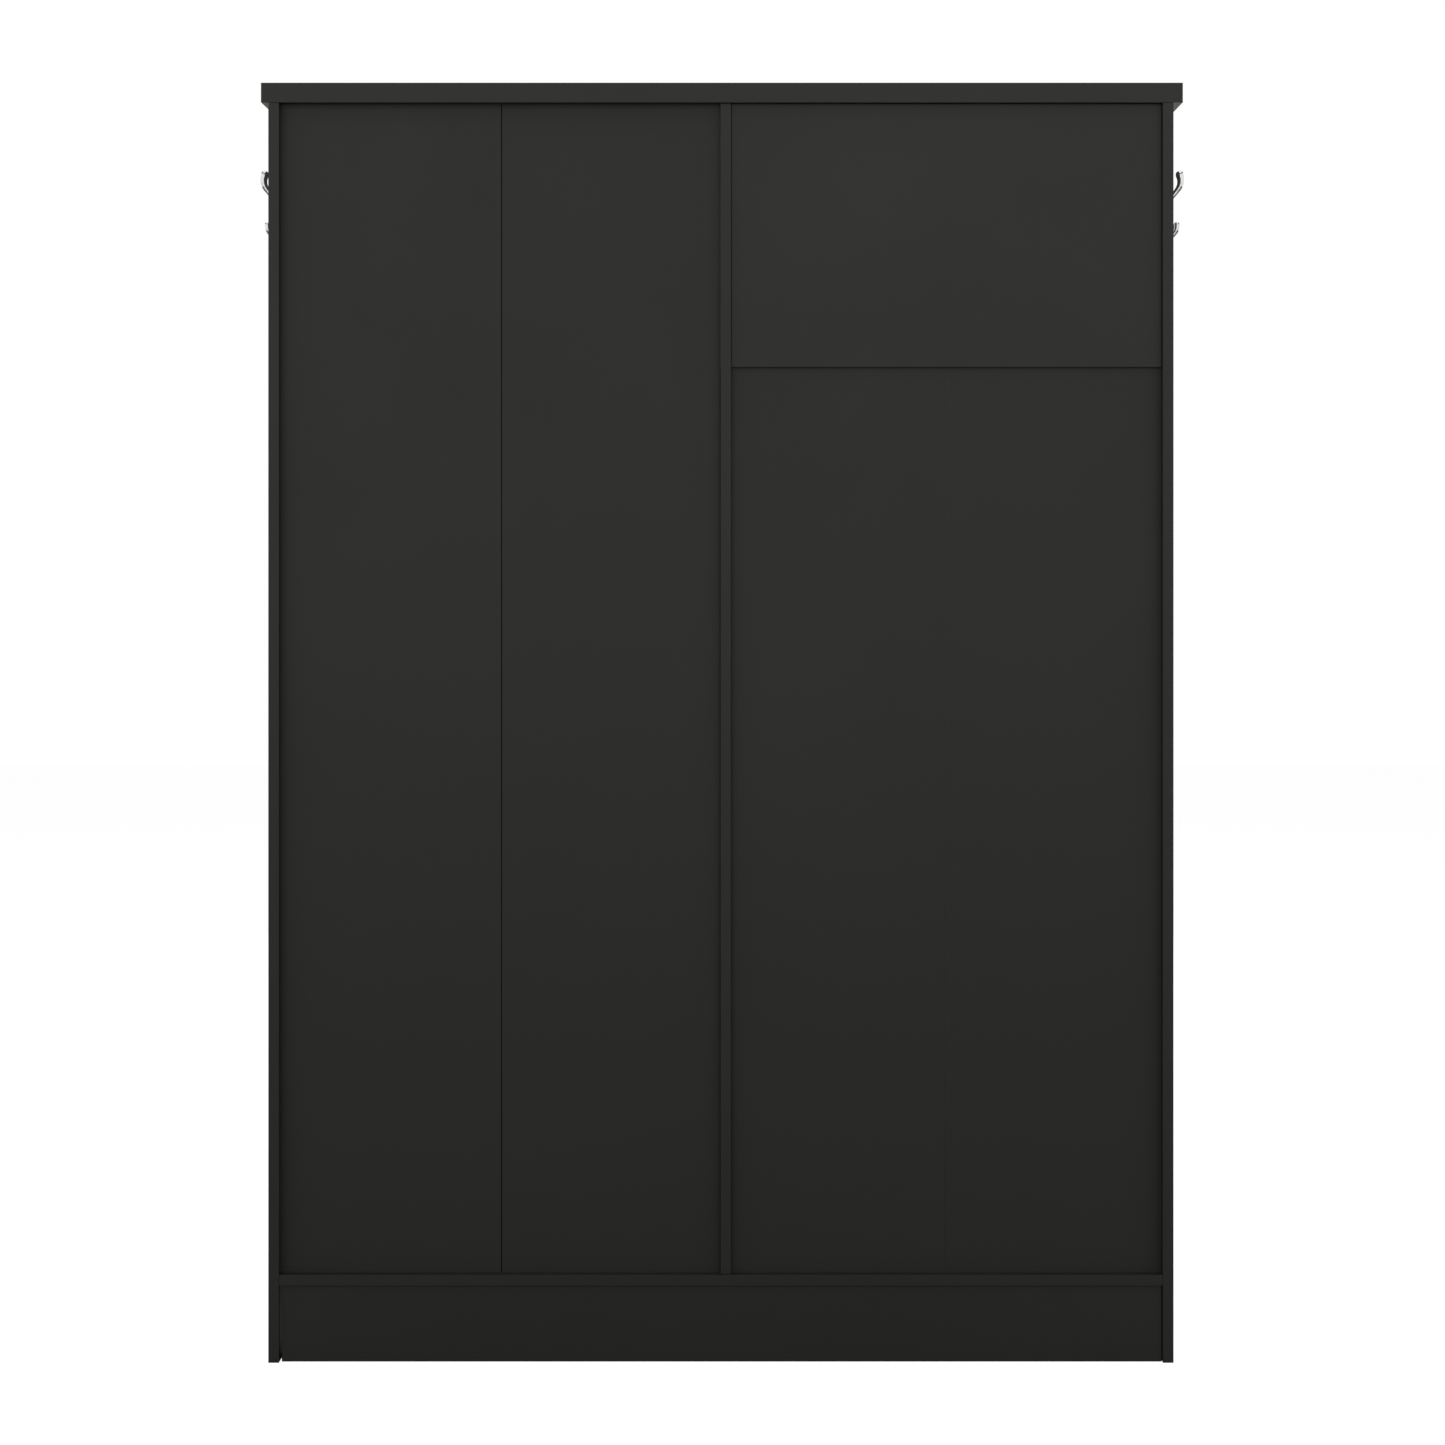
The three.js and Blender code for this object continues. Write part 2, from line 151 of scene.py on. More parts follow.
def turned(profile: np.ndarray, origin: np.ndarray, axis: np.ndarray, segments: int = 32,
           closed_loop: bool = False) -> Surface:
    """Turns a profile about an axis.

    A point is origin + h * axis + r * (cos t * u + sin t * v), where u and v are square to the axis.

    Args:
        profile: Pairs of radius r and height h along the axis.
        origin: A point on the axis, where h is 0.
        axis: The axis's direction.
        segments: Steps of t in a full turn.
        closed_loop: True when the profile closes on itself and never meets the axis.

    Returns:
        The turned skin.
    """
    axis, u, v = square_to(axis)
    t = np.linspace(0, 2 * np.pi, segments, endpoint=False)
    spokes = np.cos(t)[:, None] * u + np.sin(t)[:, None] * v
    rings = origin + profile[:, 1, None, None] * axis + profile[:, 0, None, None] * spokes
    return ring_skin(rings, closed_loop)


def round_end(path: np.ndarray, radius: np.ndarray, steps: int = 8) -> tuple[np.ndarray, np.ndarray]:
    """Adds a half-round end to a path and its radii.

    Past the last point, at the angle a, the path runs on by r * sin a and the radius is r * cos a.
    The angle stops just short of a quarter turn, so that the last ring keeps a size.

    Args:
        path: The path's points.
        radius: The radius at each of them.
        steps: Steps in the quarter circle.

    Returns:
        The longer path and its radii.
    """
    last_share = 0.97
    a = np.linspace(0, np.pi / 2 * last_share, steps + 1)[1:]
    run = path[-1] - path[-2]
    run /= np.linalg.norm(run)
    tip = path[-1] + radius[-1] * np.sin(a)[:, None] * run
    return np.vstack([path, tip]), np.concatenate([radius, radius[-1] * np.cos(a)])


def swept(path: np.ndarray, across: np.ndarray, half_width: np.ndarray, half_depth: np.ndarray,
          sides: int = 16, squareness: float = 1.0) -> Surface:
    """Carries an oval section along a path that lies in one plane.

    At station s a point is path(s) + w(s) * C(t) * across + d(s) * S(t) * n(s), where across is
    square to the path's plane, n(s) is square to both across and the path's own direction, and C and
    S are cos t and sin t raised to the power `squareness`, keeping their signs.

    Args:
        path: Stations, as an array of points.
        across: Unit direction square to the path's plane.
        half_width: Half-size along `across` at each station.
        half_depth: Half-size in the path's plane at each station.
        sides: Steps of t round the section.
        squareness: 1 for an ellipse, less for a boxier section.

    Returns:
        The swept skin, capped at both ends.
    """
    tangent = np.gradient(path, axis=0)
    tangent /= np.linalg.norm(tangent, axis=1, keepdims=True)
    normal = np.cross(tangent, across)
    t = np.linspace(0, 2 * np.pi, sides, endpoint=False)
    cos, sin = np.cos(t), np.sin(t)
    cos = np.sign(cos) * np.abs(cos) ** squareness
    sin = np.sign(sin) * np.abs(sin) ** squareness
    rings = (path[:, None]
             + (half_width[:, None] * cos)[..., None] * across
             + (half_depth[:, None] * sin)[..., None] * normal[:, None])
    return ring_skin(rings)


def plate(centre: np.ndarray, along: np.ndarray, across: np.ndarray, size: tuple[float, float, float],
          corner: float, edge: float, steps: int = 4) -> Surface:
    """A plate with rounded corners and softened edges.

    The outline is four quarter circles of radius `corner`. As the side turns over each face, through
    the angle a, the outline shrinks by edge * (1 - cos a) and rises by edge * sin a.

    Args:
        centre: The plate's middle.
        along: Unit direction of its length.
        across: Unit direction of its width.
        size: Length, width and thickness.
        corner: Radius of the outline's corners.
        edge: Radius of the softened edges.
        steps: Steps in each quarter circle.

    Returns:
        The plate's skin.
    """
    length, width, thick = size
    up = np.cross(along, across)
    corner = min(corner, length / 2, width / 2)
    edge = min(edge, thick / 2, corner)
    quarter = np.linspace(0, np.pi / 2, steps + 1)
    turn = (np.arange(4)[:, None] * np.pi / 2 + quarter).ravel()
    sign_x = np.repeat([1, -1, -1, 1], steps + 1)
    sign_y = np.repeat([1, 1, -1, -1], steps + 1)
    a = np.concatenate([-quarter[::-1], quarter])
    inset = edge * (1 - np.cos(a))
    rise = np.where(a < 0, -(thick / 2 - edge), thick / 2 - edge) + edge * np.sin(a)
    radius = corner - inset
    x = sign_x * (length / 2 - corner) + radius[:, None] * np.cos(turn)
    y = sign_y * (width / 2 - corner) + radius[:, None] * np.sin(turn)
    rings = (centre + x[..., None] * along + y[..., None] * across + rise[:, None, None] * up)
    return ring_skin(rings)


def channel(path: np.ndarray, side: np.ndarray, width: float, depth: float, wall: float) -> Surface:
    """A pressed channel carried along a path, open towards the side that it lies on.

    The section is the outline of a U: a crown with rounded shoulders and two legs. It is given as
    fractions of width and depth, and its inner line is the outer line moved in by the wall.

    Args:
        path: Stations along the crown's middle.
        side: Unit direction across the channel.
        width: Over both legs.
        depth: From the crown's outside to the legs' ends.
        wall: Thickness of the pressed sheet.

    Returns:
        The channel's skin.
    """
    tangent = np.gradient(path, axis=0)
    tangent /= np.linalg.norm(tangent, axis=1, keepdims=True)
    out = np.cross(side, tangent)
    shoulder = np.linspace(0, np.pi / 2, 5)

    def arch(half: float, crown: float, radius: float) -> np.ndarray:
        """One line over the arch, from one leg's end to the other's."""
        right = np.stack([np.cos(shoulder), np.sin(shoulder)], 1) * radius + [half - radius, crown - radius]
        left = right[::-1] * [-1, 1]
        return np.vstack([[half, -depth], right, left, [-half, -depth]])

    outer = arch(width / 2, 0, wall * 2)
    inner = arch(width / 2 - wall, -wall, wall)[::-1]
    section = np.vstack([outer, inner])
    rings = path[:, None] + section[:, 0, None] * side + section[None, :, 1, None] * out[:, None]
    return ring_skin(rings)


def screw_head(centre: np.ndarray, axis: np.ndarray, radius: float, height: float) -> Surface:
    """A domed screw head with a cross recess.

    The top is a polar grid of radius r and angle t. Its height is the dome's,
    height * sqrt(1 - (0.92 r / R) ** 2), less a recess that is deepest on the two lines x = 0 and
    y = 0 and fades out at about half the radius. A wall closes it underneath.

    Args:
        centre: Middle of the head's seat.
        axis: Direction that the head faces.
        radius: The head's radius R.
        height: The dome's height.

    Returns:
        The head's skin.
    """
    slot_half, slot_slope, slot_reach, slot_fade, slot_depth, dome_share = 0.13, 0.05, 0.56, 0.1, 0.7, 0.92
    share = np.array([0.0, 0.12, 0.2, 0.3, 0.42, 0.5, 0.58, 0.7, 0.85, 0.96, 1.0])
    t = np.linspace(0, 2 * np.pi, 24, endpoint=False)
    x, y = share[:, None] * np.cos(t), share[:, None] * np.sin(t)
    near_line = np.minimum(np.abs(x), np.abs(y))
    blade = np.clip((slot_half - near_line) / slot_slope, 0, 1)
    fade = np.clip((slot_reach - share) / slot_fade, 0, 1)[:, None]
    dome = height * np.sqrt(1 - (dome_share * share) ** 2)[:, None]
    rise = dome - slot_depth * height * blade * fade
    axis, u, v = square_to(axis)
    top = centre + radius * (x[..., None] * u + y[..., None] * v) + rise[..., None] * axis
    foot = centre + radius * (np.cos(t)[:, None] * u + np.sin(t)[:, None] * v)
    return ring_skin(np.concatenate([top, foot[None]]))


def rounded_path(corners: np.ndarray, radius: float, steps: int = 6) -> np.ndarray:
    """A path through corners, with each inner corner turned as a quadratic curve.

    Near a corner c with the curve's ends a and b, a point is (1-t)^2 a + 2 t (1-t) c + t^2 b.

    Args:
        corners: The path's ends and corners.
        radius: How far from each corner its curve begins and ends.
        steps: Steps along each curve.

    Returns:
        The path's points.
    """
    t = np.linspace(0, 1, steps + 1)[:, None]
    parts = [corners[:1]]
    for before, here, after in zip(corners, corners[1:], corners[2:]):
        start = here + radius * (before - here) / np.linalg.norm(before - here)
        end = here + radius * (after - here) / np.linalg.norm(after - here)
        parts.append((1 - t) ** 2 * start + 2 * t * (1 - t) * here + t ** 2 * end)
    parts.append(corners[-1:])
    return np.vstack(parts)


def spline_path(knots: np.ndarray, steps: int = 8) -> np.ndarray:
    """A smooth path through its knots.

    Between two knots it is the cubic whose slope at each knot is half the step from the knot before
    to the knot after.

    Args:
        knots: The points that it passes through.
        steps: Steps between two knots.

    Returns:
        The path's points.
    """
    slope = np.gradient(knots, axis=0)
    t = np.linspace(0, 1, steps, endpoint=False)[None, :, None]
    a, b = knots[:-1, None], knots[1:, None]
    m, n = slope[:-1, None], slope[1:, None]
    curve = ((2 * t ** 3 - 3 * t ** 2 + 1) * a + (t ** 3 - 2 * t ** 2 + t) * m
             + (3 * t ** 2 - 2 * t ** 3) * b + (t ** 3 - t ** 2) * n)
    return np.vstack([curve.reshape(-1, knots.shape[1]), knots[-1:]])


def make_piece(name: str, surface: Surface, material: bpy.types.Material,
               body: str | None = CARCASS, replaces: tuple[str, ...] = ()) -> bpy.types.Object:
    """Turns a surface into a finished, riding object.

    Doubled points are merged, the faces are turned outwards, and they are shaded smooth apart from
    sharp corners.

    Args:
        name: The piece's name.
        surface: Its shape, in place.
        material: Its material.
        body: The body that it rides on, or None, where it is attached to no body.
        replaces: Frame nodes that it stands for.

    Returns:
        The object.
    """
    mesh = bpy.data.meshes.new(name)
    mesh.from_pydata(surface.points.tolist(), [], surface.faces)
    work = bmesh.new()
    work.from_mesh(mesh)
    bmesh.ops.remove_doubles(work, verts=work.verts, dist=MERGE_DISTANCE)
    bmesh.ops.dissolve_degenerate(work, edges=work.edges, dist=DEGENERATE_LENGTH)
    bmesh.ops.recalc_face_normals(work, faces=work.faces)
    work.to_mesh(mesh)
    work.free()
    mesh.shade_smooth()
    mesh.set_sharp_from_angle(angle=SHARP_ANGLE)
    mesh.materials.append(material)
    piece = bpy.data.objects.new(name, mesh)
    bpy.context.scene.collection.objects.link(piece)
    if body is not None:
        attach(piece, body)
    if replaces:
        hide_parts(*replaces)
    LOG.info("%s: %d faces", name, len(mesh.polygons))
    return piece


@dataclass(frozen=True)
class Extent:
    """The box of a frame node."""

    low: np.ndarray
    high: np.ndarray

    @classmethod
    def of(cls, node: str) -> Extent:
        """Reads a node's box from the frame."""
        low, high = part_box(node)
        return cls(np.array(low), np.array(high))

    @property
    def middle(self) -> np.ndarray:
        """The box's centre."""
        return (self.low + self.high) / 2

    @property
    def size(self) -> np.ndarray:
        """The box's three sides."""
        return self.high - self.low


# ---------------------------------------------------------------------------------------------
# Shader groups
# ---------------------------------------------------------------------------------------------


class Graph:
    """A short way to write a node tree."""

    def __init__(self, tree: bpy.types.NodeTree) -> None:
        """Keeps the tree.

        Args:
            tree: The tree to write to.
        """
        self.tree = tree

    def add(self, kind: str, inputs: dict | None = None, **settings: object) -> bpy.types.Node:
        """Adds a node.

        Args:
            kind: Its type, without the ShaderNode prefix.
            inputs: Values or output sockets for its inputs, by name or number.
            settings: Its own properties.

        Returns:
            The node.
        """
        node = self.tree.nodes.new(kind if kind.startswith("Node") else f"ShaderNode{kind}")
        for key, value in settings.items():
            setattr(node, key, value)
        for key, value in (inputs or {}).items():
            if isinstance(value, bpy.types.NodeSocket):
                self.tree.links.new(value, node.inputs[key])
            else:
                node.inputs[key].default_value = value
        return node

    def math(self, operation: str, a: object, b: object = 0.0) -> bpy.types.NodeSocket:
        """One operation on two values, each a number or a socket."""
        return self.add("Math", {0: a, 1: b}, operation=operation).outputs[0]

    def between(self, value: object, low: float, high: float, to_low: float, to_high: float,
                ) -> bpy.types.NodeSocket:
        """Maps a range of values on to another, held at both ends."""
        inputs = {"Value": value, "From Min": low, "From Max": high, "To Min": to_low, "To Max": to_high}
        return self.add("MapRange", inputs).outputs["Result"]

    def mixed(self, share: object, first: object, second: object) -> bpy.types.NodeSocket:
        """Mixes two colours, each given or from a socket. They are inputs 6 and 7 of the Mix node."""
        return self.add("Mix", {0: share, 6: first, 7: second}, data_type="RGBA").outputs[2]

    def scaled(self, value: object, factor: float, offset: float) -> bpy.types.NodeSocket:
        """Value times a factor, plus an offset."""
        return self.add("Math", {0: value, 1: factor, 2: offset}, operation="MULTIPLY_ADD").outputs[0]


class GroupName(Enum):
    """The shared effects."""

    PEBBLE = "pebble_grain"
    WEAR = "edge_wear"
    HANDLING = "handling_marks"
    BRUSHING = "brushed_lines"


class EffectGroups:
    """Builds each shared effect once."""

    def __init__(self) -> None:
        """Builds them all."""
        self.groups = {
            GroupName.PEBBLE: self._pebble(),
            GroupName.WEAR: self._wear(),
            GroupName.HANDLING: self._handling(),
            GroupName.BRUSHING: self._brushing(),
        }

    @staticmethod
    def _start(name: GroupName, setting: str, default: float, output: str,
               ) -> tuple[Graph, bpy.types.Node, bpy.types.Node]:
        """Opens a group that takes a place and one setting, and gives one value.

        Args:
            name: The group's name.
            setting: Name of its setting.
            default: The setting's own value.
            output: Name of its output.

        Returns:
            The graph, its input node and its output node.
        """
        tree = bpy.data.node_groups.new(name.value, "ShaderNodeTree")
        tree.interface.new_socket("Vector", in_out="INPUT", socket_type="NodeSocketVector")
        value = tree.interface.new_socket(setting, in_out="INPUT", socket_type="NodeSocketFloat")
        value.default_value = default
        tree.interface.new_socket(output, in_out="OUTPUT", socket_type="NodeSocketFloat")
        graph = Graph(tree)
        return graph, graph.add("NodeGroupInput"), graph.add("NodeGroupOutput")

    def _pebble(self) -> bpy.types.NodeTree:
        """The fine pebbled press of a melamine face: cells under a softer ripple."""
        graph, given, result = self._start(GroupName.PEBBLE, "Pitch", 900.0, "Height")
        cells = graph.add("TexVoronoi", {"Vector": given.outputs["Vector"], "Scale": given.outputs["Pitch"]},
                          feature="SMOOTH_F1")
        coarse = graph.math("MULTIPLY", given.outputs["Pitch"], 0.28)
        ripple = graph.add("TexNoise", {"Vector": given.outputs["Vector"], "Scale": coarse, "Detail": 2.0})
        height = graph.add("Math", {0: ripple.outputs["Fac"], 1: 0.6, 2: cells.outputs["Distance"]},
                           operation="MULTIPLY_ADD")
        graph.tree.links.new(height.outputs[0], result.inputs["Height"])
        return graph.tree

    def _wear(self) -> bpy.types.NodeTree:
        """Where an edge is turned: how far a rounded normal leans from the true one, broken by noise."""
        graph, given, result = self._start(GroupName.WEAR, "Reach", 0.0015, "Mask")
        eased = graph.add("Bevel", {"Radius": given.outputs["Reach"]}, samples=4)
        true = graph.add("NewGeometry")
        dot = graph.add("VectorMath", {0: eased.outputs["Normal"], 1: true.outputs["Normal"]},
                        operation="DOT_PRODUCT")
        lean = graph.between(dot.outputs["Value"], 0.98, 0.75, 0.0, 1.0)
        patches = graph.add("TexNoise", {"Vector": given.outputs["Vector"], "Scale": 24.0, "Detail": 4.0})
        broken = graph.between(patches.outputs["Fac"], 0.3, 0.65, 0.45, 1.0)
        graph.tree.links.new(graph.math("MULTIPLY", lean, broken), result.inputs["Mask"])
        return graph.tree

    def _handling(self) -> bpy.types.NodeTree:
        """Broad faint patches where a surface has been wiped or touched, with finer streaks in them."""
        graph, given, result = self._start(GroupName.HANDLING, "Pitch", 3.0, "Mask")
        broad = graph.add("TexNoise", {"Vector": given.outputs["Vector"], "Scale": given.outputs["Pitch"],
                                       "Detail": 3.0, "Distortion": 0.6})
        fine_pitch = graph.math("MULTIPLY", given.outputs["Pitch"], 14.0)
        fine = graph.add("TexNoise", {"Vector": given.outputs["Vector"], "Scale": fine_pitch, "Detail": 5.0})
        patches = graph.between(broad.outputs["Fac"], 0.35, 0.7, 0.0, 1.0)
        texture = graph.between(fine.outputs["Fac"], 0.3, 0.7, 0.6, 1.0)
        graph.tree.links.new(graph.math("MULTIPLY", patches, texture), result.inputs["Mask"])
        return graph.tree

    def _brushing(self) -> bpy.types.NodeTree:
        """Fine lines along Z, from noise squeezed across and stretched along them."""
        graph, given, result = self._start(GroupName.BRUSHING, "Pitch", 1500.0, "Lines")
        stretch = graph.add("Mapping", {"Vector": given.outputs["Vector"], "Scale": (1.0, 1.0, 0.03)})
        lines = graph.add("TexNoise", {"Vector": stretch.outputs["Vector"], "Scale": given.outputs["Pitch"],
                                       "Detail": 3.0})
        graph.tree.links.new(lines.outputs["Fac"], result.inputs["Lines"])
        return graph.tree

    def place(self, graph: Graph, name: GroupName, inputs: dict) -> bpy.types.NodeSocket:
        """Puts one shared effect into a material.

        Args:
            graph: The material's graph.
            name: Which effect.
            inputs: Values or sockets for its inputs.

        Returns:
            Its output.
        """
        return graph.add("Group", inputs, node_tree=self.groups[name]).outputs[0]


# ---------------------------------------------------------------------------------------------
# Finishes
# ---------------------------------------------------------------------------------------------


def new_material(name: str) -> tuple[bpy.types.Material, Graph, bpy.types.Node]:
    """Makes an empty material.

    Args:
        name: Its name.

    Returns:
        The material, its graph and its Principled shader.
    """
    material = bpy.data.materials.new(name)
    material.use_nodes = True
    shader = material.node_tree.nodes["Principled BSDF"]
    return material, Graph(material.node_tree), shader


def grey(value: float) -> tuple[float, float, float, float]:
    """A neutral colour."""
    return (value, value, value, 1.0)


def dusted(colour: tuple[float, float, float, float], lift: float) -> tuple[float, float, float, float]:
    """A colour that dust makes a little paler."""
    return tuple(min(1.0, lift * part) for part in colour[:3]) + (1.0,)


@dataclass(frozen=True)
class BoardFinish:
    """Matt black melamine or painted fibreboard."""

    name: str
    colour: tuple[float, float, float, float]
    worn_colour: tuple[float, float, float, float]
    roughness: tuple[float, float]
    pebble_pitch: float
    pebble_height: float
    edge_reach: float
    ior: float = 1.535

    def build(self, effects: EffectGroups) -> bpy.types.Material:
        """Makes the material.

        Args:
            effects: The shared effects.

        Returns:
            The material.
        """
        material, graph, shader = new_material(self.name)
        place = graph.add("TexCoord").outputs["Object"]
        pebble = effects.place(graph, GroupName.PEBBLE, {"Vector": place, "Pitch": self.pebble_pitch})
        marks = effects.place(graph, GroupName.HANDLING, {"Vector": place, "Pitch": 2.2})
        wear = effects.place(graph, GroupName.WEAR, {"Vector": place, "Reach": self.edge_reach})
        base = graph.mixed(marks, self.colour, dusted(self.colour, 1.12))
        low, high = self.roughness
        bump = graph.add("Bump", {"Height": pebble, "Strength": 0.8, "Distance": self.pebble_height})
        graph.tree.links.new(graph.mixed(wear, base, self.worn_colour), shader.inputs["Base Color"])
        graph.tree.links.new(graph.scaled(marks, high - low, low), shader.inputs["Roughness"])
        graph.tree.links.new(bump.outputs["Normal"], shader.inputs["Normal"])
        shader.inputs["IOR"].default_value = self.ior
        return material


@dataclass(frozen=True)
class MetalFinish:
    """Plated or pressed metal."""

    name: str
    colour: tuple[float, float, float, float]
    dull_colour: tuple[float, float, float, float]
    roughness: tuple[float, float]
    brushed: float = 0.0

    def build(self, effects: EffectGroups) -> bpy.types.Material:
        """Makes the material.

        Args:
            effects: The shared effects.

        Returns:
            The material.
        """
        material, graph, shader = new_material(self.name)
        place = graph.add("TexCoord").outputs["Object"]
        marks = effects.place(graph, GroupName.HANDLING, {"Vector": place, "Pitch": 45.0})
        lines = effects.place(graph, GroupName.BRUSHING, {"Vector": place})
        colour = graph.mixed(marks, self.colour, self.dull_colour)
        low, high = self.roughness
        smudged = graph.scaled(marks, high - low, low)
        streaked = graph.scaled(lines, self.brushed * (high - low), 0.0)
        graph.tree.links.new(smudged, streaked.node.inputs[2])
        bump = graph.add("Bump", {"Height": lines, "Strength": 0.02 + 0.3 * self.brushed,
                                  "Distance": 0.00002})
        graph.tree.links.new(colour, shader.inputs["Base Color"])
        graph.tree.links.new(streaked, shader.inputs["Roughness"])
        graph.tree.links.new(bump.outputs["Normal"], shader.inputs["Normal"])
        shader.inputs["Metallic"].default_value = 1.0
        return material


@dataclass(frozen=True)
class PlasticFinish:
    """Moulded plastic, in small parts."""

    name: str
    colour: tuple[float, float, float, float]
    roughness: float

    def build(self, effects: EffectGroups) -> bpy.types.Material:
        """Makes the material.

        Args:
            effects: The shared effects.

        Returns:
            The material.
        """
        material, graph, shader = new_material(self.name)
        place = graph.add("TexCoord").outputs["Object"]
        marks = effects.place(graph, GroupName.HANDLING, {"Vector": place, "Pitch": 60.0})
        spark = effects.place(graph, GroupName.PEBBLE, {"Vector": place, "Pitch": 2400.0})
        colour = graph.mixed(marks, self.colour, dusted(self.colour, 1.25))
        rough = graph.scaled(marks, 0.15, self.roughness)
        bump = graph.add("Bump", {"Height": spark, "Strength": 0.25, "Distance": 0.00002})
        graph.tree.links.new(colour, shader.inputs["Base Color"])
        graph.tree.links.new(rough, shader.inputs["Roughness"])
        graph.tree.links.new(bump.outputs["Normal"], shader.inputs["Normal"])
        return material


class Palette:
    """Every finish that the wardrobe wears."""

    def __init__(self) -> None:
        """Builds the materials."""
        self.effects = EffectGroups()
        self.board = self._make(BoardFinish(
            "matt_black_melamine", (0.0158, 0.0156, 0.0126, 1.0), grey(0.026), (0.50, 0.59),
            900.0, 0.00006, 0.0010))
        self.back = self._make(BoardFinish(
            "black_fibreboard", (0.0156, 0.0154, 0.0124, 1.0), grey(0.018), (0.52, 0.61),
            1300.0, 0.00004, 0.0006))
        # This black material is real tape over the back seams. It also makes the black strips of painted
        # shade beside the divider.
        self.tape = self._make(BoardFinish(
            "black_tape_and_painted_shadow", grey(0.0035), grey(0.006), (0.75, 0.85), 2600.0, 0.00002, 0.0004, 1.05))
        self.chrome = self._make(MetalFinish("polished_chrome", grey(0.90), grey(0.84), (0.08, 0.16)))
        self.satin = self._make(MetalFinish("satin_chrome", grey(0.62), grey(0.55), (0.22, 0.34), 0.4))
        self.steel = self._make(MetalFinish(
            "nickelled_steel", (0.56, 0.55, 0.52, 1.0), grey(0.46), (0.24, 0.40), 0.2))
        self.tube = self._make(MetalFinish("plated_tube", grey(0.70), grey(0.62), (0.12, 0.22)))
        self.black_plastic = self._make(PlasticFinish("black_cap_plastic", grey(0.016), 0.42))
        self.clear_plastic = self._make(PlasticFinish("bumper_plastic", grey(0.32), 0.35))

    def _make(self, finish: BoardFinish | MetalFinish | PlasticFinish) -> bpy.types.Material:
        """Makes one finish's material with the shared effects."""
        return finish.build(self.effects)


# ---------------------------------------------------------------------------------------------
# Boards
# ---------------------------------------------------------------------------------------------


@dataclass
class Boards:
    """The frame's own boards, with eased edges."""

    palette: Palette
    easing: float = 0.5 * MM
    thin_easing: float = 0.14 * MM
    flat_angle: float = math.radians(1)
    corner_angle: float = math.radians(40)

    def dress(self) -> None:
        """Gives each board its material, and its edges a small round."""
        for entry in frame["record"]["subparts"]:
            if entry["material_slot"] == "board":
                self._ease(entry["node"], self.easing, self.palette.board)
            elif entry["material_slot"] == "back_panel":
                self._ease(entry["node"], self.thin_easing, self.palette.back)

    def _ease(self, name: str, width: float, material: bpy.types.Material) -> None:
        """Softens one board's edges with modifiers, which leave its mesh alone.

        Args:
            name: The board's node.
            width: How far back from the corner the round begins.
            material: Its material.
        """
        node = frame["nodes"][name]
        for slot in node.material_slots:
            slot.material = material
        weld = node.modifiers.new("weld", "WELD")
        weld.merge_threshold = 0.01 * MM
        flat = node.modifiers.new("flat_faces", "DECIMATE")
        flat.decimate_type = "DISSOLVE"
        flat.angle_limit = self.flat_angle
        easing = node.modifiers.new("eased_edges", "BEVEL")
        easing.width = width
        easing.segments = 3
        easing.limit_method = "ANGLE"
        easing.angle_limit = self.corner_angle
        easing.harden_normals = True
        LOG.info("%s: eased by %.2f mm", name, width / MM)


# ---------------------------------------------------------------------------------------------
# Coat hooks
# ---------------------------------------------------------------------------------------------


